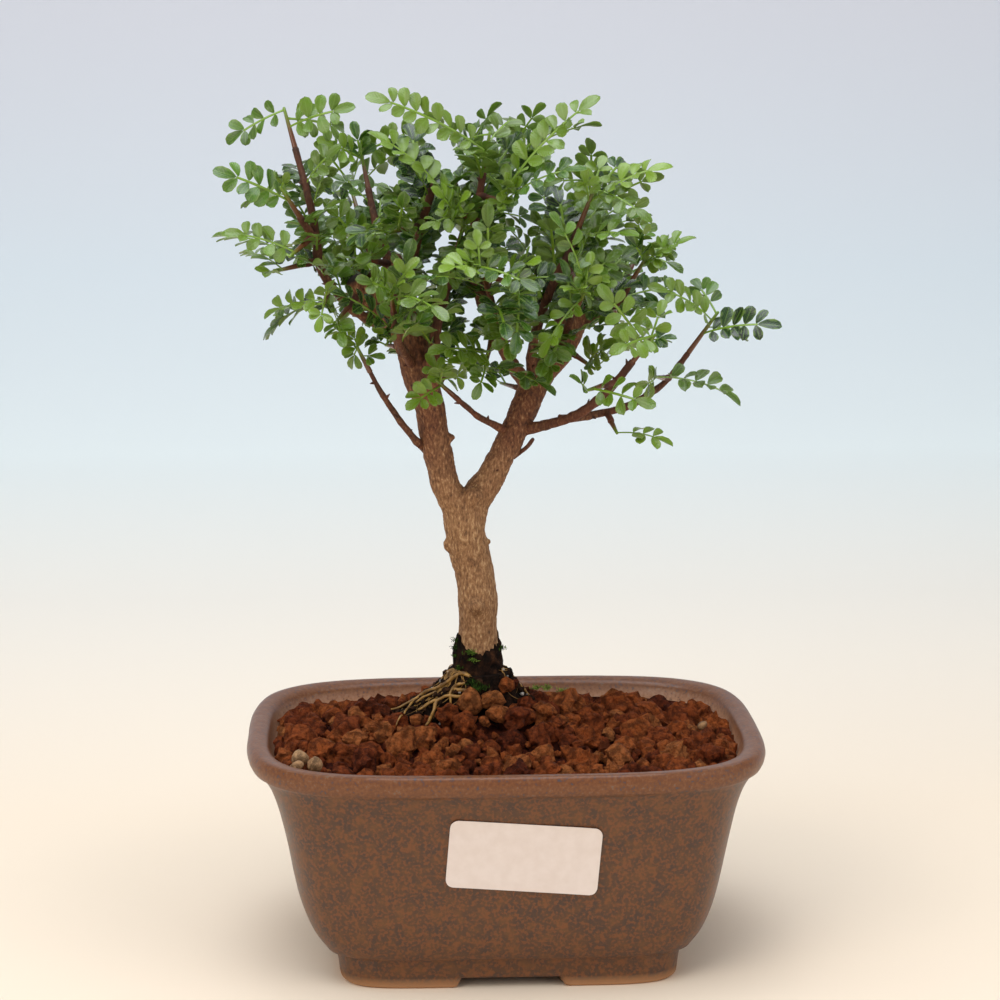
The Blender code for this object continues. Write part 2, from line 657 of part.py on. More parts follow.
def rounded_rectangle(half_length, half_height, corner, steps=3):
    """Return the points of a flat outline with round corners."""
    points = []
    for sx, sy, start in ((1, 1, 0.0), (-1, 1, 0.5), (-1, -1, 1.0), (1, -1, 1.5)):
        for k in range(steps + 1):
            angle = math.pi * (start + 0.5 * k / steps)
            x = sx * (half_length - corner) + corner * math.cos(angle)
            y = sy * (half_height - corner) + corner * math.sin(angle)
            points.append((x, y))
    return points


def make_label(group, finish):
    """Return the blank paper label, which follows the front wall 0.3 mm off it."""
    shape = bmesh.new()
    outline = rounded_rectangle(LABEL_LENGTH / 2, LABEL_HEIGHT / 2, LABEL_CORNER)
    turn = Matrix.Rotation(-LABEL_TILT, 2)
    loop = []
    for across, up in outline:
        x, z = turn @ Vector((across, up))
        loop.append(shape.verts.new((LABEL_X + x, 0, LABEL_Z + z)))
    shape.faces.new(loop)
    for z, _ in OUTER_WALL:
        geometry = shape.verts[:] + shape.edges[:] + shape.faces[:]
        bmesh.ops.bisect_plane(shape, geom=geometry, plane_co=(0, 0, z), plane_no=(0, 0, 1))
    for vert in shape.verts:
        front, _ = depth_and_squareness(outer_reach(vert.co.z))
        vert.co.y = -front - CLEARANCE - LABEL_THICKNESS / 2
    label = new_object("label", mesh_of(shape, "label"), group, finish)
    wall = label.modifiers.new("Solidify", "SOLIDIFY")
    wall.thickness = LABEL_THICKNESS * MM
    wall.offset = 0.0
    return label


# Where the fronds stand

def unit(vector):
    """Return a vector at length one."""
    return vector / np.linalg.norm(vector)


class Frond:
    """A pinnate leaf on an arched rachis, from its base to the tip of its last leaflet."""

    def __init__(self, base, tip, face):
        self.base = base
        self.chord = tip - base
        self.length = float(np.linalg.norm(self.chord))
        along = self.chord / self.length
        self.side = unit(np.cross(along, face))
        self.normal = np.cross(self.side, along)
        self.arch = 4 * FROND_ARCH * self.length

    def at(self, t):
        """Return the point, heading and upper side of the rachis at a share t of it."""
        point = self.base + self.chord * t + self.normal * self.arch * t * (1 - t)
        heading = unit(self.chord + self.normal * self.arch * (1 - 2 * t))
        return point, heading, np.cross(self.side, heading)

    def samples(self):
        """Return points over the blade, about 4 mm apart, and the share of each."""
        t = np.repeat(np.linspace(0.1, 1.0, 9), 5)
        across = np.tile(np.linspace(-1, 1, 5), 9)
        half = FROND_HALF_WIDTH * np.clip((t - 0.1) * 5, 0, 1) * np.clip((1.12 - t) * 3, 0, 1)
        lift = math.sin(LEAFLET_LIFT) * half * np.abs(across) + self.arch * t * (1 - t)
        points = self.base + t[:, None] * self.chord + (half * across)[:, None] * self.side
        return points + lift[:, None] * self.normal, t


@dataclass
class Shoot:
    """A green shoot: where it starts and ends, its heading and how many fronds it carries."""

    start: np.ndarray
    end: np.ndarray
    heading: np.ndarray
    count: int

    def base(self, index):
        """Return where the frond of that number leaves the shoot."""
        return self.start + (self.end - self.start) * (0.3 + 0.65 * (index + 1) / self.count)


def facing(direction, degrees, front):
    """Return the upper side of a blade turned by degrees from level towards the front."""
    angle = math.radians(degrees)
    up = np.array((0.0, 0.0, math.cos(angle))) + np.array(front) * math.sin(angle)
    if np.linalg.norm(np.cross(direction, up)) < 0.2:
        up = up + np.array((0.3, -0.4, 0.0))
    return up


def turned(direction, angle, azimuth):
    """Return a direction tipped away from itself by an angle, towards an azimuth round it."""
    helper = np.array((0.0, 0.0, 1.0)) if abs(direction[2]) < 0.9 else np.array((1.0, 0.0, 0.0))
    first = unit(np.cross(direction, helper))
    second = np.cross(direction, first)
    lean = first * math.cos(azimuth) + second * math.sin(azimuth)
    return direction * math.cos(angle) + lean * math.sin(angle)


class Crown:
    """All leafy shoots, with each frond kept clear of the wood and of the other fronds."""

    def __init__(self):
        self.wood = {name: smooth_route(route, ROUTE_STEP) for name, route in WOOD.items()}
        self.spurs = {}
        self.shoots = {}
        self.fronds = {name: [] for name in SHOOTS}
        self.draw = np.random.default_rng(SEED)
        for name, (branch, end, extra, *tips) in SHOOTS.items():
            self.set_shoot(name, branch, np.array(end, float), len(tips) + extra)
        self.taken = self.woody_points()
        for number, (name, (_, _, _, *tips)) in enumerate(SHOOTS.items()):
            for i, tip in enumerate(tips):
                self.place_named(name, number, i, tip)
        for number, (name, (_, _, extra, *tips)) in enumerate(SHOOTS.items()):
            for i in range(extra):
                self.place_by_rule(name, number, len(tips) + i)

    def set_shoot(self, name, branch, end, count):
        """Find the spur that carries a shoot and where the shoot runs."""
        points, _ = self.wood[branch]
        if np.linalg.norm(points[-1] - end) < 1.0:
            heading = unit(points[-1] - points[-2])
        else:
            nearest = int(np.argmin(np.linalg.norm(points - end, axis=1)))
            heading = unit(end - points[nearest])
            self.spurs[name] = (points[nearest], end)
        start = end + heading * CLEARANCE
        reach = SHOOT_LENGTH + SHOOT_LENGTH_PER_FROND * count
        self.shoots[name] = Shoot(start, start + heading * reach, heading, count)

    def woody_points(self):
        """Return points on all wood and shoots: place, room to keep, shoot number and share."""
        rows = []
        for points, radii in self.wood.values():
            rows += [(*p, r + TWIG_MARGIN, -1, 0) for p, r in zip(points, radii)]
        for number, (name, shoot) in enumerate(self.shoots.items()):
            runs = [(shoot.start, shoot.end, SHOOT_RADIUS)]
            if name in self.spurs:
                runs.append((*self.spurs[name], SPUR_RADIUS))
            for low, high, radius in runs:
                for t in (0, 0.33, 0.66, 1):
                    rows.append((*(low + (high - low) * t), radius + TWIG_MARGIN, number, 0))
        return np.array(rows)

    def fits(self, number, frond):
        """Tell whether a frond keeps clear of wood and blades; its own shoot's may meet near the root."""
        points, shares = frond.samples()
        around = np.linalg.norm(self.taken[:, :3] - frond.base, axis=1) < frond.length + 2 * FROND_HALF_WIDTH
        taken = self.taken[around]
        gaps = np.linalg.norm(points[:, None] - taken[None, :, :3], axis=2)
        own, wood = taken[:, 4] == number, taken[:, 5] == 0
        room = np.where(own, OWN_MARGIN, taken[:, 3])
        outer = shares[:, None] > FREE_SHARE
        away = np.linalg.norm(points - frond.base, axis=1)[:, None] > FREE_RADIUS
        matters = np.where(own, outer & (taken[:, 5] > FREE_SHARE), away | ~wood)
        return not ((gaps < room) & matters).any()

    def keep(self, name, number, frond):
        """Record a frond that fits."""
        self.fronds[name].append(frond)
        points, shares = frond.samples()
        same = np.ones(len(points))
        rows = np.column_stack((points, BLADE_MARGIN * same, number * same, shares))
        self.taken = np.vstack((self.taken, rows))

    def place_named(self, name, number, index, tip):
        """Place a frond whose tip is given, leaning it a little aside where it would clash."""
        base = self.shoots[name].base(index)
        wanted = np.array(tip[:3], float) - base
        for attempt in range(90):
            chord = turned(unit(wanted), math.radians(0.7 * attempt), attempt * GOLDEN_ANGLE)
            chord = chord * np.linalg.norm(wanted) * (1.0, 0.88, 0.76)[attempt // 30]
            face = facing(unit(chord), tip[3] + 1.5 * (attempt % 20), (0.0, -1.0, 0.0))
            frond = Frond(base, base + chord, face)
            if self.fits(number, frond):
                self.keep(name, number, frond)
                return

    def place_by_rule(self, name, number, index):
        """Place a frond that fans out from its shoot, up and away from the crown's middle."""
        shoot = self.shoots[name]
        base = shoot.base(index)
        length = self.draw.uniform(*RULE_LENGTHS)
        first = self.draw.uniform(0, 2 * math.pi)
        out = unit((base - CROWN_CENTRE) / CROWN_REACH)
        flat_out = np.array((out[0], out[1], 0.0))
        for attempt in range(120):
            lean = math.radians(34 + 10 * (attempt % 6))
            way = turned(shoot.heading, lean, first + (index + attempt) * GOLDEN_ANGLE)
            way = unit(way + 0.4 * out + (0.0, 0.0, 0.12))
            tip = base + way * length * (1.0, 0.85, 0.7)[attempt // 40]
            share = np.abs((tip - CROWN_CENTRE) / CROWN_REACH)
            if share[0] ** 2 + share[2] ** 2 + share[1] ** 4 > 1.0:
                continue
            frond = Frond(base, tip, facing(way, 25 + 10 * (attempt % 4), flat_out))
            if self.fits(number, frond):
                self.keep(name, number, frond)
                return


# Green shoots

def frond_pairs(length):
    """Return the places of the leaflet pairs along the rachis and where it ends."""
    end = max(0.4, 1 - TERMINAL_LENGTH / length)
    count = 1 + (length > TWO_PAIRS_FROM) + (length > THREE_PAIRS_FROM)
    first = 0.36 if count > 1 else 0.6 * end
    return np.linspace(first, end, count), end


def leaflet_corners(base, heading, out, length, width):
    """Return the back, tip and front corners of a rounded leaflet beside the rachis."""
    axis = heading * math.cos(LEAFLET_ANGLE) + out * math.sin(LEAFLET_ANGLE)
    across = unit(heading - axis * float(np.dot(heading, axis)))
    middle = base + axis * length * 0.68
    return (middle - across * width / 2, base + axis * length, middle + across * width / 2)


def terminal_corners(base, heading, side, width):
    """Return the corners of the narrow leaflet that ends the frond."""
    middle = base + heading * TERMINAL_LENGTH * 0.6
    half = side * width / 2
    return (middle + half, base + heading * TERMINAL_LENGTH, middle - half)


def frond_mesh(name, frond, group):
    """Return one frond: a thin arched blade cut to its rib between the leaflets."""
    pairs, end = frond_pairs(frond.length)
    grip = LEAFLET_GRIP / frond.length
    size = min(1.0, 0.55 + frond.length / 45)
    shape = bmesh.new()
    stations = [0.0]
    for t in pairs:
        stations += [t - grip, t + grip]
    edges = []
    for t in stations:
        point, _, _ = frond.at(t)
        half = (RACHIS_WIDTH if t > 0 else RACHIS_ROOT_WIDTH) / 2 * frond.side
        edges.append([shape.verts.new(point + half), shape.verts.new(point - half)])
    for low, high in zip(edges, edges[1:]):
        shape.faces.new((low[0], high[0], high[1], low[1]))
    for i, t in enumerate(pairs):
        point, heading, up = frond.at(t)
        for side in (0, 1):
            away = frond.side * (1 - 2 * side)
            out = away * math.cos(LEAFLET_LIFT) + up * math.sin(LEAFLET_LIFT)
            root = point + away * RACHIS_WIDTH / 2
            low, high = edges[2 * i + 1][side], edges[2 * i + 2][side]
            corners = leaflet_corners(root, heading, out, LEAFLET_LENGTH * size, LEAFLET_WIDTH * size)
            shape.faces.new((low, *(shape.verts.new(c) for c in corners), high))
    _, heading, _ = frond.at(end)
    corners = terminal_corners(frond.at(end + grip)[0], heading, frond.side, TERMINAL_WIDTH * size)
    shape.faces.new((edges[-1][0], *(shape.verts.new(c) for c in corners), edges[-1][1]))
    bmesh.ops.recalc_face_normals(shape, faces=shape.faces)
    bmesh.ops.triangulate(shape, faces=shape.faces)
    blade = new_object(name, mesh_of(shape, name), group)
    wall = blade.modifiers.new("Solidify", "SOLIDIFY")
    wall.thickness = BLADE * MM
    wall.offset = 0.0
    mesh = evaluated_mesh(blade)
    bpy.data.objects.remove(blade, do_unlink=True)
    return new_object(name, mesh, group)


def make_spray(name, crown, group, finish):
    """Return a green shoot with its fronds fused to it."""
    shoot = crown.shoots[name]
    stem = tube(name + "_stem", (shoot.start, shoot.end), (SHOOT_RADIUS, 0.9 * SHOOT_RADIUS), group, 0)
    blades = [frond_mesh(f"{name}_{i}", frond, group) for i, frond in enumerate(crown.fronds[name])]
    return fused("spray_" + name, [stem] + blades, finish, group)


# The woody plant

def make_tree(crown, group, finish):
    """Return stump, trunk, limbs, twigs, spurs and knobs fused into one solid."""
    pieces = []
    for name, route in WOOD.items():
        points, radii = smooth_route(route, TWIG_STEP)
        detail = next(detail for radius, detail in THICK_WOOD if radii.max() >= radius)
        pieces.append(tube(name, points, radii, group, detail))
    for name, ends in crown.spurs.items():
        pieces.append(tube("spur_" + name, ends, (SPUR_RADIUS, SPUR_TIP_RADIUS), group, 0))
    for i, (low, high, thick, thin) in enumerate(KNOBS):
        pieces.append(tube(f"knob_{i}", (low, high), (thick, thin), group, 1))
    return fused("tree", pieces, finish, group)


def main():
    """Build every piece and stand the whole with its box's middle on the origin."""
    clear_scene()
    parts = collection("chinese_pepper_bonsai")
    cutters = collection("cutters", hidden=True)
    glaze = material("brown_glaze", (0.36, 0.26, 0.2), 0.4)
    plastic = material("black_plastic_mesh", (0.06, 0.06, 0.06), 0.6)
    granules = material("clay_granules", (0.45, 0.24, 0.14), 0.95)
    peat = material("dark_peat", (0.13, 0.09, 0.07), 0.95)
    bark = material("bark", (0.42, 0.28, 0.18), 0.8)
    leaf = material("leaf", (0.25, 0.45, 0.15), 0.4)
    paper = material("label_paper", (0.95, 0.9, 0.88), 0.6)
    crown = Crown()
    make_pot(parts, cutters, glaze)
    make_soil(parts, cutters, granules)
    make_root_ball(parts, peat)
    make_label(parts, paper)
    for side, word in ((-1, "left"), (1, "right")):
        make_drain_mesh("drain_mesh_" + word, side * DRAIN_OFFSET, parts, cutters, plastic)
    make_tree(crown, parts, bark)
    for name in SHOOTS:
        make_spray(name, crown, parts, leaf)
    stand = bpy.data.objects.new("stand", None)
    parts.objects.link(stand)
    for obj in list(parts.objects) + list(cutters.objects):
        if obj is not stand:
            obj.parent = stand
    stand.location = -CENTRE * MM


if __name__ == "__main__":
    main()
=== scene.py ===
"""Chinese pepper bonsai in its glazed pot: the looks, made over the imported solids.

The plant's routes and the rule that places its fronds are those of the solids, so every
finer frond lies where its solid is. Lengths are in millimetres from the pot's own middle,
with +Z up and -Y the front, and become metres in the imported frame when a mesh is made.
Every new piece is a surface worked out with numpy, and every finish is made of nodes.
"""

import logging
import math
from dataclasses import dataclass, field
from enum import Enum
from itertools import product
from typing import Any, Iterable, Sequence

import bmesh
import bpy
import numpy as np
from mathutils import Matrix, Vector


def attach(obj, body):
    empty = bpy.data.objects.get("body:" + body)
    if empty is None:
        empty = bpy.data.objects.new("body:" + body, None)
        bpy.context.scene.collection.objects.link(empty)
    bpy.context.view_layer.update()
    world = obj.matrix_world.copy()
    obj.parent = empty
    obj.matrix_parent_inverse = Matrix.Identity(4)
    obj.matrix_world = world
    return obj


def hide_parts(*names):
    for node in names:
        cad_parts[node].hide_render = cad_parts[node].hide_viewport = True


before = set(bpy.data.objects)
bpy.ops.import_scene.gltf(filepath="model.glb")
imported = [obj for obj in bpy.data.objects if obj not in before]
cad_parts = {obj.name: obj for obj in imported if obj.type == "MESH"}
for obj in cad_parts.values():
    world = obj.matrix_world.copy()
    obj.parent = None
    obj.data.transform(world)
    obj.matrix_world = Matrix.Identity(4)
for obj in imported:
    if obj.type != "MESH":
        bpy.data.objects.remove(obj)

LOG = logging.getLogger("bonsai")

Array = np.ndarray
Colour = tuple[float, float, float, float]
Route = tuple[tuple[float, ...], ...]
Tree = bpy.types.NodeTree
Socket = bpy.types.NodeSocket

MM = 0.001
CENTRE = np.array((-1.8, -0.2, 0.0))
BODY = "root"
SEAM_DISTANCE = 1e-7
SHARP_ANGLE = math.radians(55)
GRAIN_ANGLE = math.radians(38)
GOLDEN_ANGLE = math.pi * (3 - math.sqrt(5))

# Pot outline: how far the outer wall stands out at each height, from foot to lip
RIM_HALF_LENGTH = 70.3
RIM_HALF_DEPTH = 52.5
RIM_SQUARENESS = 3.8
FOOT_HALF_LENGTH = 47.0
FOOT_HALF_DEPTH = 40.5
FOOT_SQUARENESS = 7.0
FOOT_HEIGHT = 8.0
POT_HEIGHT = 61.8
FLOOR_TOP = 10.5
OUTER_WALL = (
    (0.0, 46.0), (FOOT_HEIGHT, FOOT_HALF_LENGTH), (9.0, 50.0), (13.5, 53.3), (20.0, 56.0), (28.0, 58.0),
    (37.0, 59.8), (46.0, 62.0), (52.0, 64.3), (55.6, 67.0), (56.6, 69.2), (59.0, RIM_HALF_LENGTH),
    (61.0, 69.4), (POT_HEIGHT, 67.6),
)

# How thick the wall is at each height, from lip to floor
INNER_WALL = ((61.0, 4.6), (57.4, 6.4), (46.0, 4.6), (28.0, 4.6), (16.0, 5.4), (FLOOR_TOP, 8.5))

# Soil and root ball
SOIL_EDGE = 57.0
SOIL_CROWN = 9.0
SOIL_SPREAD_X, SOIL_SPREAD_Y = 45.0, 28.0
FILL_GAP = 0.4
PLUG_X, PLUG_Y = -11.0, 6.0
PLUG_HALF_LENGTH, PLUG_HALF_DEPTH = 22.0, 12.5
PLUG_BOTTOM = 24.0
PLUG_TAPER = 0.8
PLUG_TOP = ((1.0, 63.6), (0.7, 66.5), (0.4, 69.6), (0.12, 73.4), (0.0, 76.0))
COLLAR_RADIUS = 8.6
STUMP_X, STUMP_Y = -7.0, 5.0
STUMP_RADIUS = 6.3
STUMP_BOTTOM = 50.0

# Twigs, green shoots and the room that their fronds keep. A frond is tried again and again,
# each third of the tries at a smaller share of its length
CLEARANCE = 0.3
ROUTE_STEP = 2.0
SPUR_RADIUS, SPUR_TIP_RADIUS = 1.05, 0.85
SHOOT_RADIUS = 1.1
SHOOT_LENGTH = 2.5
SHOOT_LENGTH_PER_FROND = 2.8
FROND_ARCH = 0.09
FROND_HALF_WIDTH = 7.6
LEAFLET_LIFT = math.radians(16)
BLADE_MARGIN = 3.3
OWN_MARGIN = 2.4
TWIG_MARGIN = 2.0
FREE_SHARE = 0.35
FREE_RADIUS = 5.0
RULE_LENGTHS = (21.0, 29.0)
RULE_TRIES, RULE_SHARES = 120, (1.0, 0.85, 0.7)
NAMED_TRIES, NAMED_SHARES = 90, (1.0, 0.88, 0.76)
SEED = 7
CROWN_CENTRE = np.array((-6.0, 0.0, 192.0))
CROWN_REACH = np.array((66.0, 58.0, 41.0))

# Foot: reach, inset and height from the underside round the foot's edge, and its cut-outs
FOOT_FOLD = [
    (46.0, 8.5, 4.5), (46.0, 7.2, 0.4), (46.0, 6.8, 0.0), (46.0, 0.6, 0.0), (46.0, 0.0, 0.6),
    (46.3, 0.0, 3.0),
]
SLOT_HALF, SIDE_SLOT_HALF, SLOT_HEIGHT, SLOT_EDGE = 14.8, 11.8, 3.0, 1.6

# Drain holes, and where the drills that cut them start and end
DRAIN_RADIUS, DRAIN_OFFSET = 6.0, 22.0
DRILL_ENDS, DRILL_POINTS = (1.0, 14.0), 41

# Angles that an outline is first worked out at, places of the floor's outlines, heights of
# the lip, how high the foot is worn, and the soil's lowest point
DENSE_ANGLES = np.linspace(0, 2 * math.pi, 2881)
FLOOR_SHARES = (0.3, 0.6, 0.85)
LIP_LOW, LIP_HIGH = 55.4, 57.4
WORN_HEIGHT, WORN_SWAY = 1.3, 0.5
SOIL_BOTTOM = FLOOR_TOP + 0.3

# The part of the mound, in degrees round the stump, that granules cover, and how they are
# heaped against it: x, y, spread along x and y, and height
FRONT_FROM, FRONT_TO = 238.0, 345.0
HEAP_X, HEAP_Y, HEAP_SPREAD_X, HEAP_SPREAD_Y, HEAP_HEIGHT = -3.0, -7.0, 11.0, 5.0, 4.2

# How much lower the mound's left flank lies behind its roots
SLUMP = 1.5

# The dark hollow under the roots that no granule fills: x, y and radius
HOLLOW_X, HOLLOW_Y, HOLLOW_RADIUS = -23.5, -9.0, 2.6

# Areas that granules are thrown over: lowest and highest x and y
WHOLE_TOP = (-66.0, -49.0, 66.0, 49.0)
MOUND_FRONT = (-16.0, -10.0, 14.0, 3.0)

# How many of the largest granules are cut finer
FINE_GRANULES = 90

# Large granules in front of the tree: x, y and radius, and how far these stand out
LARGE_STAND = 0.35
LARGE_GRANULES = (
    (-15.5, -7, 3.3), (-11, -12, 3.3), (-22, -17, 3.2), (-28.5, -19.5, 3.6), (-3.4, -5.2, 3.2),
    (5.6, -1.5, 3.2), (-2, -9.7, 3.0), (10.7, -3, 3.4), (3, -10.5, 3.4), (-33, -12.5, 2.7),
    (17.6, 8, 3.8),
)

# How much lower the loose granules lie along the back wall
BACK_DIP = 2.6

# Pale pebbles: place and radius
PEBBLES = (
    (-55.4, -30, 61.2, 2.5), (-51.6, -35.5, 60.8, 2.3), (-56.4, -35.5, 60.4, 2.0), (-44.3, 20, 60.9, 1.2),
    (55.0, 0, 60.4, 1.4),
)

# Roots that lie on the mound: x, y, height above it and radius
ROOTS = (
    (
        (-9.5, -3.4, 0.9, 0.5), (-12.8, -1.6, 0.8, 0.6), (-15, -1, 0.9, 0.5), (-17, -0.4, 0.9, 0.55),
        (-19.5, 0.6, 1.0, 0.45), (-22, 2, 1.0, 0.5), (-24.5, 2, 1.0, 0.4), (-26.5, 1.4, 1.3, 0.35),
        (-29, 1, 1.7, 0.28), (-31, 0, 2.2, 0.2),
    ),
    (
        (-24.4, 2.2, 0.9, 0.3), (-25.6, 0.3, 1.1, 0.3), (-27, -2, 1.6, 0.26), (-28.5, -6, 2.6, 0.24),
        (-30, -11, 2.6, 0.16),
    ),
    ((-9, -4.6, 1.2, 0.5), (-10.6, -4.2, 1.5, 0.6), (-12.5, -3.8, 1.3, 0.55), (-13.8, -3, 0.7, 0.45)),
    (
        (-11.7, -4.4, 0.8, 0.55), (-13, -4.2, 1.1, 0.55), (-15, -3.6, 1.1, 0.45), (-17, -3, 1.1, 0.5),
        (-18.8, -3.1, 1.2, 0.5), (-19.3, -4.2, 1.6, 0.5), (-19.8, -5.4, 1.9, 0.42),
        (-20.6, -8, 2.0, 0.42), (-21.7, -11, 1.6, 0.3),
    ),
    (
        (-10.8, -3.4, 0.8, 0.4), (-12.2, -3.1, 1.1, 0.5), (-14.2, -2.6, 1.0, 0.4),
        (-14.9, -3.2, 1.2, 0.4), (-14.8, -4.6, 1, 0.3),
    ),
    (
        (-17.7, -2.8, 0.8, 0.4), (-19.7, -2.6, 1.0, 0.42), (-21.8, -2.6, 1.0, 0.34),
        (-23.5, -2.8, 1.2, 0.26),
    ),
    ((-18.7, -0.6, 0.7, 0.3), (-21, -0.4, 0.9, 0.34), (-22.8, 0.1, 0.9, 0.28), (-24.2, -0.3, 1.1, 0.22)),
    ((1.2, 4, 0.3, 0.35), (3.8, 5, 0.6, 0.4), (6, 6.4, 0.7, 0.34), (9, 8, 0.8, 0.24)),
    ((-8, 14.2, 0.5, 0.5), (-12, 15.4, 0.7, 0.45), (-17, 16.6, 0.8, 0.35), (-22, 17.2, 1.0, 0.25)),
)

# Moss tufts: place, size and shade
MOSS = (
    (-12.7, 3.2, 84.6, 0.8, 0.3), (-12.9, 2.8, 82.6, 0.8, 0.2), (-12.9, 2.8, 80.4, 0.6, 0.35),
    (-9.4, -1.2, 82.2, 0.8, 0.55), (-8.6, -1.6, 80.2, 0.6, 0.65), (-12.2, 0.4, 77.6, 0.7, 0.4),
    (-8.6, -4.2, 74.4, 1.0, 0.2), (-6.8, -4.8, 73.2, 1.0, 0.3), (-0.4, 3.4, 82.4, 0.6, 0.4),
    (9.6, 12.0, 68.6, 0.7, 0.85), (12.8, 15.0, 67.8, 0.75, 0.95), (17.0, 14.0, 67.0, 0.75, 1.0),
)

# The peat coat: how far out it stands at each share of its height, its foot and top, and how
# much its top edge is torn and rises at the sides
COAT_PROFILE = (
    (5.0, 0.0), (7.8, 0.0), (7.5, 0.08), (7.2, 0.16), (7.0, 0.25), (6.9, 0.34), (6.8, 0.43), (6.7, 0.52),
    (6.6, 0.61), (6.5, 0.7), (6.35, 0.78), (6.2, 0.86), (6.0, 0.93), (5.6, 0.98), (4.6, 1.0),
)
COAT_FOOT, COAT_TOP = 71.0, 82.0
COAT_TORN, COAT_RISE = 2.2, 3.0

# How many crumbs and hair roots there are, and moss blades in a tuft of size one
CRUMBS, HAIR_ROOTS, MOSS_BLADES = 420, 30, 90
MOSS_HALF_WIDTH = 0.12

# Degrees round the stump between which most hair roots start, their share, and the others'
HAIR_SECTOR, HAIR_SECTOR_SHARE, HAIR_OTHERS = (192, 245), 0.75, (245, 540)

# Pale bits: how many, and each scatter's middle, spread and first bit
PALE_COUNT = 46
PALE_BITS = (((6.0, 2.0), (5.0, 4.0), 0), ((-14.0, 0.0), (8.0, 4.0), 30))

# Label, and how far its back and its front stand off the wall
LABEL_SHEETS = (0.2, 0.45)
LABEL_LENGTH, LABEL_HEIGHT = 40.0, 19.0
LABEL_CORNER = 2.2
LABEL_X, LABEL_Z = 2.9, 38.6
LABEL_TILT = math.radians(4.5)

# Leaflets
LEAFLET_ANGLE = math.radians(64)
LEAF_ROWS = np.array((0.0, 0.07, 0.2, 0.36, 0.52, 0.68, 0.82, 0.93, 1.0))
LEAF_COLUMNS = np.array((-1.0, -0.5, 0.0, 0.5, 1.0))
CRENATE = np.array((0, 1, -1, 1, -1, 1, -1, 1, 0))
LEAF_THICKNESS = 0.24

# Wood that is fused with the trunk, and routes that end in a saw cut
THICK = ("trunk", "left_limb", "right_limb", "left_stub", "left_leader")
CUT = ("left_stub", "left_leader", "right_limb")

# How many millimetres fuller the trunk is above the peat and thinner under it, and between
# which heights; and the heights between which old bark gives way to the limbs' bark
FULLER, THINNER = (0.35, 125, 100), (0.9, 83, 78)
OLD_BARK = (116, 150)

# Buds: how many steps of a route lie between two, and how far they lean from the wood
BUD_STEP, THICK_BUD_STEP = 3, 7
BUD_ANGLE = math.radians(65)

# Side fronds: wood without them, the room that they keep, and how far out they may reach, as
# the square of a share of the crown's reach, with their lengths: inside, and on some tips
BARE = (*THICK, "bare_twig", "cross_twig", "dead_twig", "right_low", "right_long")
SIDE_GAP = 1.3
SIDE_RANGE, TIP_RANGE = (0.9, (14, 27)), (1.1, (10, 19))
LEAFY_TO_THE_TIP = ("far_left", "far_left_side", "upper_left")

# Young fronds at the end of a shoot: how many, their lengths and how far out they may reach
FRESH_COUNT, FRESH_LENGTHS, FRESH_REACH = 3, (8, 13), 0.72

# The space in front of the left limb's fork that side fronds leave open: two corners
LIMB_VIEW = np.array(((-46.0, -60.0, 130.0), (-13.0, -1.0, 173.0)))

# Backdrop: where it starts, its bend and its end, in millimetres
BACKDROP_FRONT, BACKDROP_BACK, BACKDROP_BEND = -1500.0, 700.0, 500.0
BACKDROP_TOP, BACKDROP_HALF_WIDTH = 2600.0, 2600.0

# Lamps: name, place in metres, size, power and colour, and the point that they look at
LAMPS = (
    ("top", (-0.1, -0.1, 1.1), 1.0, 11.0, "#f4f8ff"), ("key", (-0.8, -0.9, 0.8), 0.8, 6.0, "#fff6ea"),
    ("fill", (0.9, -0.7, 0.6), 0.9, 3.8, "#fff8f2"),
)
LAMP_TARGET = (0, 0, 0.12)
SKY_COLOUR, SKY_STRENGTH = "#dfe8f2", 0.42

# Camera: focal length, sensor width, place, and degrees that it looks down and turns
LENS, SENSOR = 108.0, 36.0
CAMERA_PLACE = np.array((-40.1, -797.8, 284.5))
CAMERA_DOWN, CAMERA_TURN = 11.32, -2.8

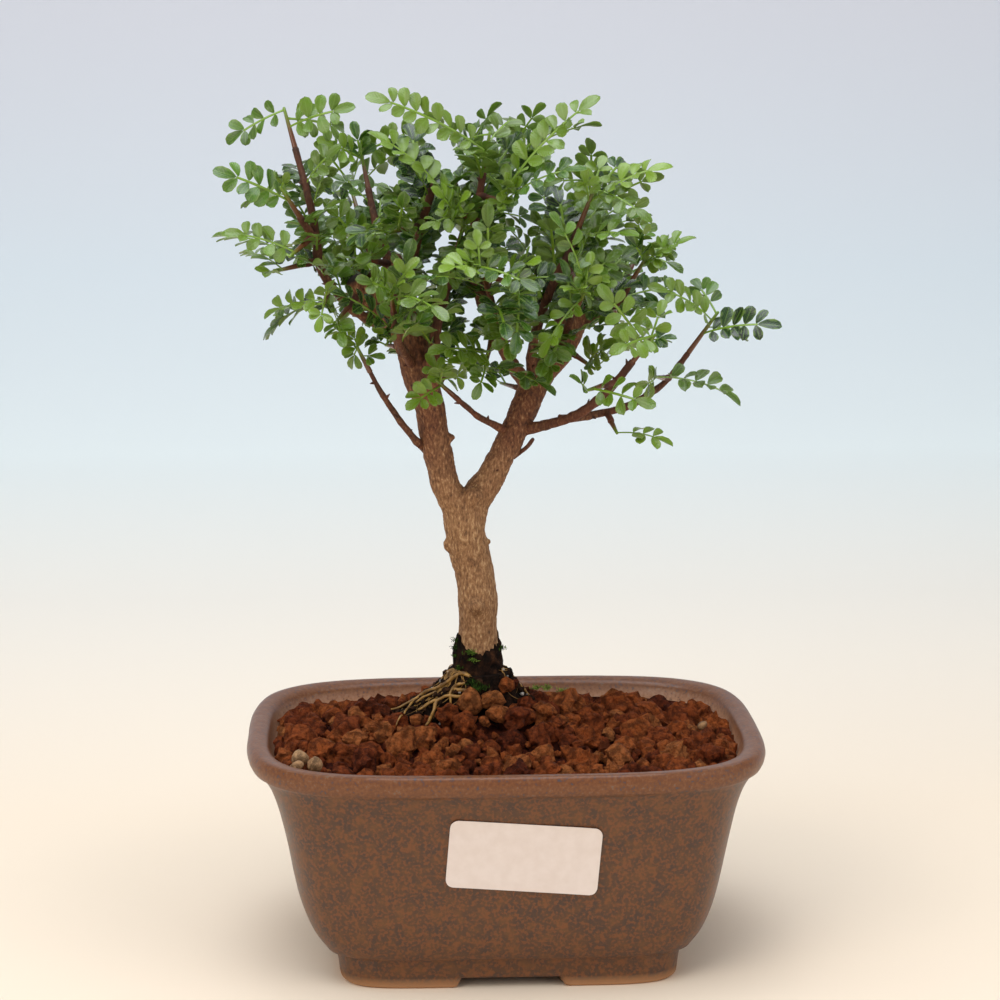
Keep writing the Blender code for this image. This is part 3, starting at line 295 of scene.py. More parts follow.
# Routes of the woody parts from the pot's middle: x, y, z and radius
WOOD = {
    "trunk": (
        (STUMP_X, STUMP_Y, STUMP_BOTTOM + CLEARANCE, STUMP_RADIUS), (-7, 5, 64, STUMP_RADIUS),
        (-6.6, 5, 76.5, 6.2), (-7, 5, 84, 5.1), (-7, 4, 96, 5.0), (-8.4, 4, 106, 5.1), (-11, 3, 118, 5.5),
        (-11, 3, 123, 5.2),
    ),
    "left_limb": (
        (-10, 3, 114, 4.4), (-12.8, 2, 123, 4.4), (-15.6, 1, 128, 3.9), (-18.6, 0, 141, 3.9),
        (-20.4, -1, 152, 3.9), (-23, -1, 159, 4.4), (-25, -2, 168, 4.4), (-27, -2, 172, 4.0),
    ),
    "right_limb": (
        (-10, 3, 115, 4.6), (-7.4, 4, 124, 4.2), (-3, 4, 131, 3.8), (2.2, 6, 141, 3.6), (8, 8, 153, 3.7),
        (12, 10, 159, 3.7), (16.5, 11, 165, 3.7), (19, 12, 170, 3.7), (21, 14, 177, 3.4),
        (22, 15, 183, 3.4),
    ),
    "left_stub": ((-25, -2, 169, 3.6), (-32, -4, 177, 3.4), (-38, -7, 183, 3.0), (-40, -8, 186, 2.8)),
    "left_leader": ((-25, -2, 168, 3.8), (-27, 1, 175, 3.4), (-28, 4, 182, 3.1), (-30, 7, 190, 2.9)),
    "upper_left": ((-29, 6, 187, 1.5), (-32, 7, 192, 1.3), (-34, 8, 198, 1.1), (-36, 12, 208, 0.9)),
    "mid_left": ((-27, 3, 180, 1.6), (-25, 0, 186, 1.3), (-23, -5, 197, 1.2), (-19, -9, 211, 1.1)),
    "far_left": (
        (-32, -3, 174, 1.7), (-36, -7, 175, 1.5), (-43, -11, 181, 1.3), (-49, -14, 190, 1.2),
        (-50, -16, 199, 1.1), (-52, -17, 210, 1.0), (-55, -14, 221, 0.9),
    ),
    "far_left_side": ((-50, -16, 197, 1.1), (-54, -21, 204, 0.9)),
    "knuckle_twig": ((-22, -3, 160, 2.2), (-19, -7, 165, 1.8), (-18, -9, 175, 1.5), (-13, -11, 194, 1.1)),
    "top_centre": (
        (7, 7, 155, 2.2), (2, 2, 162, 1.9), (-2, -2, 171, 1.7), (-8, -8, 185, 1.6), (-9, -8, 193, 1.4),
        (-8, -8, 201, 1.2), (-6, -10, 214, 1.0),
    ),
    "centre_back": ((-4, -4, 175, 1.2), (-5, 1, 182, 1.0), (-6, 6, 192, 0.8)),
    "right_low": (
        (6, 6, 143, 2.0), (12, 2, 145, 1.5), (18, -4, 148, 1.4), (26, -11, 155, 1.2), (33, -18, 165, 1.1)
    ),
    "right_long": (
        (15, -1, 147, 1.3), (22, 2, 147, 1.1), (32, 4, 149, 1.1), (40, 4, 153, 1.0), (45, 4, 157, 0.9),
        (50, 3, 164, 0.8),
    ),
    "upper_right": (
        (8, 8, 157, 1.6), (8, 4, 166, 1.4), (11, -5, 180, 1.3), (16, -11, 192, 1.1), (19, -13, 200, 0.9)
    ),
    "bare_twig": ((-21, 1, 138, 1.1), (-27, -7, 146, 0.9), (-33, -12, 156, 0.8), (-36, -14, 162, 0.6)),
    "cross_twig": ((2, 6, 142, 1.2), (-7, -2, 148, 0.9), (-14, -9, 155, 0.7)),
    "dead_twig": ((3, 8, 135, 0.8), (6, 4, 138, 0.6), (8, 2, 141, 0.5)),
    "riser": ((19, 12, 169, 1.7), (26, 11, 173, 1.3), (31, 8, 177, 1.1), (34, 6, 182, 0.9)),
    "rear_left": ((-25, -1, 167, 1.9), (-30, 10, 177, 1.5), (-35, 19, 187, 1.2), (-38, 26, 197, 0.9)),
    "rear_centre": ((-28, 5, 183, 1.7), (-24, 14, 190, 1.3), (-17, 23, 199, 1.1), (-13, 29, 206, 0.9)),
    "rear_right": ((17, 11, 166, 1.8), (16, 20, 174, 1.4), (18, 28, 184, 1.1), (22, 34, 193, 0.9)),
    "rear_far_right": ((21, 14, 176, 1.6), (27, 18, 178, 1.3), (33, 22, 180, 1.1), (36, 25, 184, 0.9)),
    "rear_low": ((-22, -1, 155, 1.5), (-26, 10, 162, 1.2), (-27, 21, 171, 0.9)),
    "front_left": ((-24, -2, 161, 1.5), (-27, -11, 167, 1.2), (-29, -19, 173, 1.0), (-30, -26, 180, 0.8)),
    "front_centre": ((-2, -2, 171, 1.3), (-3, -11, 176, 1.1), (-4, -20, 181, 0.9), (-6, -27, 187, 0.8)),
    "front_right": ((12, 9, 160, 1.5), (15, -2, 167, 1.2), (16, -12, 173, 1.0), (18, -22, 180, 0.8)),
    "top_rear": ((-9, -8, 192, 1.1), (-4, 3, 200, 1.0), (0, 13, 209, 0.8)),
}

# Knobs, pruning scars and thorns: middle, tip and the two radii
KNOBS = (
    ((-7, 4, 92), (-7.5, -2.2, 96), 2.4, 1.5), ((-9, 4, 107), (-15.5, 2, 112.5), 2.6, 1.3),
    ((-10, 3, 115), (-3.8, 2.5, 112.5), 1.5, 0.6), ((-12, 3, 119), (-8, -1, 126.8), 3.2, 2.0),
    ((-22, -1, 155), (-17.5, -5.5, 161), 3.4, 2.4), ((-18, 0, 139), (-13.8, -1, 142.5), 1.5, 0.8),
)

# Leafy shoots: woody part, end of its twig or spur, how many fronds the rule adds, and the
# tips of the other fronds with how far in degrees each blade turns from level to the front
SHOOTS = {
    "apex": ("top_centre", (-6, -10, 214), 0, (-37, -14, 235, 55), (4, 2, 228, 40), (-13, 3, 219, 60)),
    "apex_right": ("top_centre", (-5, -12, 208), 0, (24, -19, 235, 40), (20, -27, 217, 25)),
    "apex_left": ("top_centre", (-10, -12, 203), 0, (-35, -22, 227, 10), (-21, -29, 212, 50)),
    "crown_left": (
        "far_left", (-55, -14, 221), 0, (-39, -20, 232, 60), (-42, 0, 225, 70), (-73, -10, 222, 55)
    ),
    "far_left_high": (
        "far_left_side", (-54, -21, 204), 0, (-76, -28, 217, 65), (-67, -9, 206, 5), (-56, -33, 217, 60)
    ),
    "far_left_mid": ("far_left", (-53, -22, 197), 0, (-74, -30, 201, 45), (-77, -14, 198, 20)),
    "far_left_low": ("far_left", (-54, -17, 191), 0, (-70, -7, 193, 10), (-63, -29, 189, 20)),
    "left_low": (
        "far_left", (-47, -19, 184), 0, (-65, -23, 182, 25), (-68, -8, 177, 35), (-50, -31, 175, 75)
    ),
    "stub_left": ("left_stub", (-42, -13, 179), 0, (-51, -31, 177, 60)),
    "limb_left": ("left_limb", (-29, 6, 166), 0, (-36, 18, 166, 60)),
    "bare_tip": ("bare_twig", (-36, -14, 162), 0, (-32, -17, 166, 40), (-41, -13, 163, 40)),
    "upper_left": (
        "upper_left", (-36, 12, 208), 0, (-40, 16, 226, 75), (-50, 4, 222, 70), (-21, 19, 225, 80)
    ),
    "inner_left": ("left_leader", (-34, -1, 190), 1, (-53, -18, 205, 60), (-36, -28, 203, 50)),
    "mid_left": ("mid_left", (-25, -10, 200), 1, (-31, -31, 212, 50), (-12, -33, 205, 45)),
    "knuckle": ("knuckle_twig", (-13, -11, 194), 0, (-10, -33, 188, 80), (-32, -29, 198, 30)),
    "back_centre": (
        "centre_back", (-6, 6, 192), 0, (-4, 13, 204, 60), (-16, 18, 205, 60), (10, 18, 198, 40)
    ),
    "centre_right": ("top_centre", (-4, -14, 187), 1, (7, -36, 194, 50), (16, -26, 188, 40)),
    "centre_front": ("top_centre", (-4, -9, 169), 1, (-21, -30, 170, 50), (-11, -26, 158, 85)),
    "cross_twig": ("cross_twig", (-14, -9, 155), 0, (-27, -21, 153, 60), (-17, 0, 161, 60)),
    "right_end": (
        "right_low", (33, -18, 165), 0, (20, -28, 186, 50), (44, -24, 172, 30), (25, -38, 172, 60)
    ),
    "right_tip": (
        "right_long", (50, 3, 164), 0, (74, -8, 173, 50), (67, 11, 166, 30), (38, -8, 184, 45),
        (52, 12, 183, 60),
    ),
    "right_mid": ("right_long", (43, -1, 158), 0, (63, -13, 153, 20), (28, -17, 158, 70)),
    "right_under": ("right_long", (29, -1, 146), 0, (45, -10, 141, 20)),
    "right_fork": ("right_low", (25, -20, 159), 0, (36, -38, 162, 60), (15, -31, 163, 40)),
    "upper_right": (
        "upper_right", (19, -13, 200), 0, (43, -20, 217, 30), (32, -1, 217, 75), (38, -27, 205, 10),
        (9, -26, 218, 50),
    ),
    "upper_right_low": ("upper_right", (17, -14, 188), 1, (28, -33, 194, 40), (32, -14, 199, 50)),
    "upper_right_back": (
        "upper_right", (13, 3, 190), 0, (27, 9, 205, 70), (6, 8, 208, 70), (17, 0, 213, 75)
    ),
    "riser": ("riser", (34, 6, 182), 0, (57, 2, 187, 15), (32, -5, 197, 65), (45, 16, 188, 30)),
    "limb_right": ("right_limb", (20, 6, 163), 1, (29, -14, 170, 60)),
    "limb_back": ("right_limb", (4, 16, 153), 1, (-2, 28, 158, 60)),
    "rear_left": ("rear_left", (-38, 26, 197), 4),
    "rear_left_low": ("rear_left", (-35, 14, 184), 3),
    "rear_centre": ("rear_centre", (-13, 29, 206), 4),
    "rear_centre_low": ("rear_centre", (-23, 22, 190), 3),
    "rear_right": ("rear_right", (22, 34, 193), 4),
    "rear_right_low": ("rear_right", (14, 27, 176), 3),
    "rear_far_right": ("rear_far_right", (36, 25, 184), 0, (51, 20, 186, 20), (41, 37, 197, 60)),
    "rear_far_right_low": ("rear_far_right", (32, 24, 176), 3),
    "rear_low": ("rear_low", (-27, 21, 171), 3),
    "front_left": ("front_left", (-30, -26, 180), 0, (-17, -54, 182, 35), (-38, -44, 190, 45)),
    "front_centre": ("front_centre", (-6, -27, 187), 0, (-21, -44, 189, 35), (6, -46, 190, 35)),
    "front_right": ("front_right", (18, -22, 180), 0, (8, -31, 168, 20), (10, -31, 206, 20)),
    "top_rear": ("top_rear", (0, 13, 209), 4),
    "limb_top": ("right_limb", (16, 20, 181), 3),
}


class Slot(Enum):
    """The record's material slots."""

    GLAZE = "brown_glaze"
    GRANULES = "clay_granules"
    PEAT = "dark_peat"
    PAPER = "label_paper"
    MESH = "black_plastic_mesh"
    BARK = "bark"
    LEAF = "leaf"


# Surfaces

@dataclass
class Surface:
    """Points, faces and what the materials read at the points.

    Attributes:
        points: one row of x, y, z for each point, in millimetres from the pot's middle.
        faces: blocks of faces, each an array of point numbers with 3 or 4 columns.
        uv: one row of u, v for each point.
        marks: named values at the points, one array each.
    """

    points: Array
    faces: list[Array]
    uv: Array
    marks: dict[str, Array] = field(default_factory=dict)


def joined(surfaces: Sequence[Surface]) -> Surface:
    """Put several surfaces into one.

    Args:
        surfaces: surfaces that carry the same marks.

    Returns:
        One surface with all their points and faces.
    """
    starts = np.cumsum([0] + [len(s.points) for s in surfaces])
    faces = [block + start for s, start in zip(surfaces, starts) for block in s.faces]
    marks = {k: np.concatenate([s.marks[k] for s in surfaces]) for k in surfaces[0].marks}
    return Surface(
        np.concatenate([s.points for s in surfaces]), faces, np.concatenate([s.uv for s in surfaces]),
        marks,
    )


def grid_faces(rows: int, columns: int) -> Array:
    """Return the four-sided faces of a grid of points stored row by row."""
    index = np.arange(rows * columns).reshape(rows, columns)
    corners = (index[:-1, :-1], index[:-1, 1:], index[1:, 1:], index[1:, :-1])
    return np.stack(corners, axis=-1).reshape(-1, 4)


def repeated_faces(faces: Array, points: int, copies: int) -> Array:
    """Return the faces of several copies of a shape whose points follow each other."""
    shifts = np.arange(copies)[:, None, None] * points
    return (faces[None] + shifts).reshape(-1, faces.shape[1])


def unit(vectors: Array) -> Array:
    """Return vectors at length one."""
    return vectors / np.linalg.norm(vectors, axis=-1, keepdims=True)


def around(angles: Array) -> Array:
    """Return x and y on the unit circle at each angle."""
    return np.column_stack((np.cos(angles), np.sin(angles)))


def level(points: Array, z: Array | float) -> Array:
    """Return flat points set at a height."""
    return np.column_stack((points, np.broadcast_to(z, len(points))))


def smoothstep(low: float, high: float, value: Array) -> Array:
    """Return a smooth rise from 0 at low to 1 at high."""
    t = np.clip((value - low) / (high - low), 0, 1)
    return t * t * (3 - 2 * t)


def rough(points: Array, size: float | tuple[float, ...], seed: int = 0, octaves: int = 1) -> Array:
    """Work out smooth random heights between -1 and 1.

    Each lattice corner gets a fixed random value from its number, and a point takes the
    blend of its cell's eight corners with smooth fades. Each octave halves size and height.

    Args:
        points: rows of x, y, z.
        size: the cell size, or one for each axis.
        seed: picks another field.
        octaves: how many layers are added up.

    Returns:
        One height for each point.
    """
    total = np.zeros(len(points))
    for octave in range(octaves):
        place = points / np.asarray(size) * 2**octave
        cell = np.floor(place).astype(np.int64)
        fade = place - cell
        fade = fade * fade * (3 - 2 * fade)
        for corner in product((0, 1), repeat=3):
            x, y, z = (cell + corner).T
            mixed = (x * 73856093) ^ (y * 19349663) ^ (z * 83492791) ^ ((seed + octave) * 2654435761)
            mixed = (mixed ^ (mixed >> 13)) * 1274126177
            value = ((mixed ^ (mixed >> 16)) & 0xFFFF) / 32767.5 - 1
            weight = np.prod(np.where(corner, fade, 1 - fade), axis=1)
            total += value * weight / 2**octave
    return total


def wander(path: Array, size: float) -> Array:
    """Return small random shifts for the points of a path."""
    return 0.25 * np.column_stack([rough(path, size, seed=s) for s in (1, 2, 3)])


def smooth_route(route: Sequence[Sequence[float]], step: float) -> tuple[Array, Array]:
    """Return points and radii along a Catmull-Rom curve through a route, about step apart."""
    rows = np.array(route, float)
    padded = np.vstack((2 * rows[0] - rows[1], rows, 2 * rows[-1] - rows[-2]))
    found = []
    for a, b, c, d in zip(padded, padded[1:], padded[2:], padded[3:]):
        bend = 2 * a - 5 * b + 4 * c - d
        twist = 3 * b - a - 3 * c + d
        steps = max(1, round(np.linalg.norm(c[:3] - b[:3]) / step))
        for t in np.arange(steps) / steps:
            found.append(0.5 * (2 * b + (c - a) * t + bend * t**2 + twist * t**3))
    found = np.array(found + [rows[-1]])
    return found[:, :3], found[:, 3]


def carried(
    path: Array, across: Array, up: Array, half_width: Array, half_height: Array, sides: int
) -> Surface:
    """Carry an oval along a path and close its ends.

    A point is P(s, a) = path(s) + width(s) cos(a) across(s) + height(s) sin(a) up(s). The
    first and last ring shrink to a point.

    Args:
        path: points along the middle.
        across: directions of the oval's width, one for each point.
        up: directions of its height.
        half_width: half widths, one for each point.
        half_height: half heights.
        sides: how many points go round.

    Returns:
        The closed surface, with u round it and v its length in millimetres.
    """
    ends = (0, *range(len(path)), -1)
    path, across, up = path[ends, :], across[ends, :], up[ends, :]
    half_width, half_height = half_width[ends,], half_height[ends,]
    half_width[[0, -1]] = half_height[[0, -1]] = 0
    angle = np.linspace(0, 2 * math.pi, sides + 1)
    wide = half_width[:, None, None] * np.cos(angle)[None, :, None] * across[:, None]
    high = half_height[:, None, None] * np.sin(angle)[None, :, None] * up[:, None]
    points = path[:, None] + wide + high
    length = np.concatenate(([0], np.cumsum(np.linalg.norm(np.diff(path, axis=0), axis=1))))
    uv = np.stack(np.broadcast_arrays(angle[None] / (2 * math.pi), length[:, None]), axis=-1)
    return Surface(points.reshape(-1, 3), [grid_faces(len(path), sides + 1)], uv.reshape(-1, 2))


def tube(path: Array, radii: Array, sides: int, tip: float = 0.5) -> Surface:
    """Carry a circle along a path, with a rounded tip at its end.

    Args:
        path: points along the middle.
        radii: radius at each point.
        sides: how many points go round.
        tip: how far the end bulges, as a share of the last radius.

    Returns:
        The closed tube.
    """
    heading = unit(np.gradient(path, axis=0))
    path = np.vstack((path, path[-1] + heading[-1] * radii[-1] * tip))
    heading = np.vstack((heading, heading[-1]))
    radii = np.append(radii, radii[-1] * 0.55)
    helper = np.eye(3)[np.argmin(np.abs(heading).max(axis=0))]
    across = unit(np.cross(heading, helper))
    return carried(path, across, np.cross(heading, across), radii, radii, sides)


def ball_directions(detail: int) -> tuple[Array, Array]:
    """Return the points and three-sided faces of a unit icosphere."""
    shape = bmesh.new()
    bmesh.ops.create_icosphere(shape, subdivisions=detail, radius=1.0)
    points = np.array([vert.co for vert in shape.verts])
    faces = np.array([[vert.index for vert in face.verts] for face in shape.faces])
    shape.free()
    return points, faces


def random_turns(draw: np.random.Generator, count: int) -> Array:
    """Return random rotation matrices, from random unit quaternions."""
    w, x, y, z = unit(draw.normal(size=(count, 4))).T
    rows = (
        (1 - 2 * (y * y + z * z), 2 * (x * y - z * w), 2 * (x * z + y * w)),
        (2 * (x * y + z * w), 1 - 2 * (x * x + z * z), 2 * (y * z - x * w)),
        (2 * (x * z - y * w), 2 * (y * z + x * w), 1 - 2 * (x * x + y * y)),
    )
    return np.moveaxis(np.array(rows), -1, 0)


def lumps(
    middles: Array, radii: Array, draw: np.random.Generator, detail: int = 2, crumble: float = 0.3,
    broken: float = 0.7,
) -> Surface:
    """Make rough stones.

    Each is a ball whose points are pushed out or in by random smooth heights. Six random
    planes then cut it: a point p beyond a plane goes back to it, p - max(0, p.n - b) n. It
    is squashed along its axes and turned at random.

    Args:
        middles: where the stones lie.
        radii: their mean radii.
        draw: the seeded draw.
        detail: how finely the ball is divided.
        crumble: how strong the pushes are, as a share of the radius.
        broken: how far out the planes lie, as a share of the radius.

    Returns:
        All stones in one surface, with a tone between 0 and 1 for each.
    """
    ball, faces = ball_directions(detail)
    count = len(middles)
    where = ball[None] * 1.3 + draw.uniform(0, 400, (count, 1, 3))
    push = rough(where.reshape(-1, 3), 0.62, seed=3, octaves=3).reshape(count, -1, 1)
    shape = ball[None] * (1 + crumble * push)
    for normal in unit(draw.normal(size=(6, count, 1, 3))):
        past = np.maximum(0, (shape * normal).sum(axis=-1, keepdims=True) - broken)
        shape = shape - past * normal
    shape = shape * draw.uniform(0.8, 1.25, (count, 1, 3))
    points = np.einsum("nij,nkj->nki", random_turns(draw, count), shape) * radii[:, None, None]
    tone = np.repeat(0.08 + 0.86 * draw.beta(1.9, 1.7, count), len(ball))
    flat = (points + middles[:, None]).reshape(-1, 3)
    return Surface(
        flat, [repeated_faces(faces, len(ball), count)], np.zeros((len(flat), 2)), {"tone": tone}
    )


def mark(mesh: bpy.types.Mesh, marks: dict[str, Array]) -> None:
    """Store named values at a mesh's points for the materials to read."""
    for key, values in marks.items():
        mesh.attributes.new(key, "FLOAT", "POINT").data.foreach_set("value", values.astype(np.float32))


def to_mesh(name: str, surface: Surface, sharp: float = SHARP_ANGLE) -> bpy.types.Mesh:
    """Turn a surface into a mesh in metres, its seams and poles merged and its faces outward."""
    mesh = bpy.data.meshes.new(name)
    faces = [face for block in surface.faces for face in block.tolist()]
    mesh.from_pydata(((surface.points - CENTRE) * MM).tolist(), [], faces)
    corners = np.empty(len(mesh.loops), np.int32)
    mesh.loops.foreach_get("vertex_index", corners)
    layer = mesh.uv_layers.new(name="UVMap")
    layer.data.foreach_set("uv", surface.uv[corners].astype(np.float32).ravel())
    mark(mesh, surface.marks)
    shape = bmesh.new()
    shape.from_mesh(mesh)
    bmesh.ops.remove_doubles(shape, verts=shape.verts, dist=SEAM_DISTANCE)
    bmesh.ops.recalc_face_normals(shape, faces=shape.faces)
    shape.to_mesh(mesh)
    shape.free()
    mesh.shade_smooth()
    mesh.set_sharp_from_angle(angle=sharp)
    return mesh


def placed(name: str, data: bpy.types.ID) -> bpy.types.Object:
    """Add an object with its mesh, lamp or camera to the scene."""
    made = bpy.data.objects.new(name, data)
    bpy.context.scene.collection.objects.link(made)
    return made


def applied(obj: bpy.types.Object) -> bpy.types.Mesh:
    """Return an object's mesh with its modifiers applied."""
    graph = bpy.context.evaluated_depsgraph_get()
    return bpy.data.meshes.new_from_object(obj.evaluated_get(graph))


def add_piece(
    name: str, shape: Surface | bpy.types.Mesh, finish: bpy.types.Material, nodes: Iterable[str],
) -> None:
    """Add a finished piece that stands for solids and moves with the body.

    Args:
        name: the piece's name.
        shape: its surface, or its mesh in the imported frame.
        finish: its material.
        nodes: the solids that it stands for.
    """
    mesh = to_mesh(name, shape) if isinstance(shape, Surface) else shape
    piece = placed(name, mesh)
    mesh.materials.clear()
    mesh.materials.append(finish)
    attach(piece, BODY)
    if nodes:
        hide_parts(*nodes)
    LOG.info("%s: %d faces", name, len(mesh.polygons))


# Finishes

def linear(colour: str) -> Colour:
    """Turn an sRGB hex colour into linear red, green, blue and a full alpha."""
    parts = [int(colour[i : i + 2], 16) / 255 for i in (1, 3, 5)]
    return (*(((c + 0.055) / 1.055) ** 2.4 if c > 0.04045 else c / 12.92 for c in parts), 1.0)


def per(size: float) -> float:
    """Return the texture scale that gives features of about a size in millimetres."""
    return 1.0 / (size * MM)


def fill(tree: Tree, target: bpy.types.Node, inputs: dict[str | int, Any]) -> None:
    """Set a node's inputs, each to a value, a hex colour or an output that is linked to it."""
    for key, value in inputs.items():
        if isinstance(value, Socket):
            tree.links.new(value, target.inputs[key])
        else:
            target.inputs[key].default_value = linear(value) if isinstance(value, str) else value


def node(
    tree: Tree, kind: str, inputs: dict[str | int, Any] | None = None,
    stops: Sequence[tuple[float, str | float]] = (), out: str | int = 0, **settings: Any,
) -> Socket:
    """Add a node with its settings, values and links.

    Args:
        tree: the material's node tree.
        kind: the node's type, without the ShaderNode that starts it.
        inputs: socket name or number to a value, a hex colour or an output to link.
        stops: for a colour ramp, places with hex colours or grey values.
        out: name or number of the wanted output.
        settings: the node's own properties.

    Returns:
        The wanted output of the new node.
    """
    made = tree.nodes.new("ShaderNode" + kind)
    for key, value in settings.items():
        setattr(made, key, value)
    fill(tree, made, inputs or {})
    for i, (place, value) in enumerate(stops):
        points = made.color_ramp.elements
        stop = points[i] if i < len(points) else points.new(place)
        stop.position = place
        stop.color = linear(value) if isinstance(value, str) else (value, value, value, 1.0)
    return made.outputs[out]


def painted(tree: Tree, colour: Socket, layers: dict[str, Socket | str]) -> Socket:
    """Lay colours over a colour, each as far as the mark that it is named after is set."""
    for name, over in layers.items():
        share = node(tree, "Attribute", out="Fac", attribute_name=name)
        colour = node(tree, "MixRGB", {"Fac": share, "Color1": colour, "Color2": over})
    return colour


@dataclass(frozen=True)
class Finish:
    """What every finish starts from: its name, and its shader's even values."""

    name: str
    roughness: float
    ior: float = 1.5

    def start(self) -> tuple[bpy.types.Material, Tree, bpy.types.Node, Socket]:
        """Return a new material, its tree, its shader and its Object coordinates."""
        made = bpy.data.materials.new(self.name)
        made.use_nodes = True
        tree = made.node_tree
        shader = tree.nodes["Principled BSDF"]
        fill(tree, shader, {"Roughness": self.roughness, "IOR": self.ior})
        return made, tree, shader, node(tree, "TexCoord", out="Object")


@dataclass(frozen=True)
class IronGlaze(Finish):
    """Stoneware fired with a brown iron glaze: satin, mottled, worn to clay where it stood."""

    name: str = "fired_iron_glaze"
    roughness: float = 0.36
    cloud_size: float = 3.6
    speck_size: float = 0.9

    def make(self) -> bpy.types.Material:
        """The eye gets soft brown clouds, rusty specks, an orange lip and a bare clay foot."""
        made, tree, shader, where = self.start()
        clouds = node(tree, "TexNoise", {"Vector": where, "Scale": per(self.cloud_size), "Detail": 6.0})
        stops = ((0.34, "#463024"), (0.5, "#543620"), (0.66, "#66401f"))
        body = node(tree, "ValToRGB", {"Fac": clouds}, stops)
        grain = node(tree, "TexNoise", {"Vector": where, "Scale": per(self.speck_size), "Detail": 3.0})
        rust = node(tree, "ValToRGB", {"Fac": grain}, ((0.47, 0.0), (0.62, 0.75)))
        wall = node(tree, "MixRGB", {"Fac": rust, "Color1": body, "Color2": "#784521"})
        stops = ((0.3, "#94705c"), (0.4, "#cd9875"), (0.65, "#dcae8e"))
        inner = node(tree, "ValToRGB", {"Fac": grain}, stops)
        stops = ((0.3, "#49434a"), (0.39, "#683c1f"), (0.62, "#7b4b28"), (0.72, "#6e5a4c"))
        lip = node(tree, "ValToRGB", {"Fac": grain}, stops)
        colour = painted(tree, wall, {"inside": inner, "lip": lip, "bare": "#b4865f"})
        sheen = node(tree, "MapRange", {"Value": clouds, "To Min": 0.28, "To Max": 0.5})
        bare = node(tree, "Attribute", out="Fac", attribute_name="bare")
        dull = node(tree, "Math", {0: sheen, 1: bare}, operation="ADD", use_clamp=True)
        bump = node(tree, "Bump", {"Height": grain, "Strength": 0.12, "Distance": 0.3 * MM})
        fill(tree, shader, {"Base Color": colour, "Roughness": dull, "Normal": bump})
        return made


@dataclass(frozen=True)
class Grain(Finish):
    """A rough loose or porous stuff, such as fired clay granules or peat.

    Attributes:
        shades: hex colours from the darkest grain to the palest.
        grain_size: size in millimetres of the mottling within a grain.
        relief: depth of the pits in millimetres.
        depth: how much of the colour the painted shade leaves in the deepest pits.
    """

    name: str = "fired_clay_granules"
    roughness: float = 0.95
    ior: float = 1.25
    shades: tuple[str, ...] = ("#5c2413", "#9e4c25", "#bf6430", "#d2834a")
    grain_size: float = 0.9
    relief: float = 1.5
    depth: float = 0.35

    def make(self) -> bpy.types.Material:
        """The eye gets one shade for each grain, blotched and pitted, with painted shade in the pits and
        along the cell borders, and no shine.
        """
        made, tree, shader, where = self.start()
        tone = node(tree, "Attribute", out="Fac", attribute_name="tone")
        look = {"Vector": where, "Scale": per(0.7 * self.grain_size), "Detail": 5.0, "Roughness": 0.65}
        blotch = node(tree, "TexNoise", look)
        spread = node(tree, "MapRange", {"Value": blotch, "To Min": -0.3, "To Max": 0.3})
        shade = node(tree, "Math", {0: tone, 1: spread}, operation="ADD", use_clamp=True)
        places = np.linspace(0.05, 0.95, len(self.shades)).tolist()
        colour = node(tree, "ValToRGB", {"Fac": shade}, tuple(zip(places, self.shades)))
        look = {"Vector": where, "Scale": per(0.75 * self.grain_size), "Detail": 5.0, "Roughness": 0.72}
        fine = node(tree, "TexNoise", look)
        look = {"Vector": where, "Scale": per(1.9 * self.grain_size)}
        cells = node(tree, "TexVoronoi", look, feature="SMOOTH_F1")
        knobs = node(tree, "MapRange", {"Value": cells, "From Max": 0.8, "To Min": 1.0, "To Max": 0.0})
        # Painted shade: the colour is darkened where the pit field is low, in the pits and along the cell
        # borders; the same field drives the bump
        pits = node(tree, "Math", {0: fine, 1: 1.6, 2: knobs}, operation="MULTIPLY_ADD")
        look = {"Value": pits, "From Min": 1.0, "From Max": 1.5, "To Min": self.depth, "To Max": 1.0}
        shadow = node(tree, "MapRange", look)
        pit_shaded_colour = node(
            tree, "MixRGB", {"Fac": 1.0, "Color1": colour, "Color2": shadow}, blend_type="MULTIPLY"
        )
        bump = node(tree, "Bump", {"Height": pits, "Strength": 1.0, "Distance": self.relief * MM})
        fill(tree, shader, {"Base Color": pit_shaded_colour, "Normal": bump})
        return made


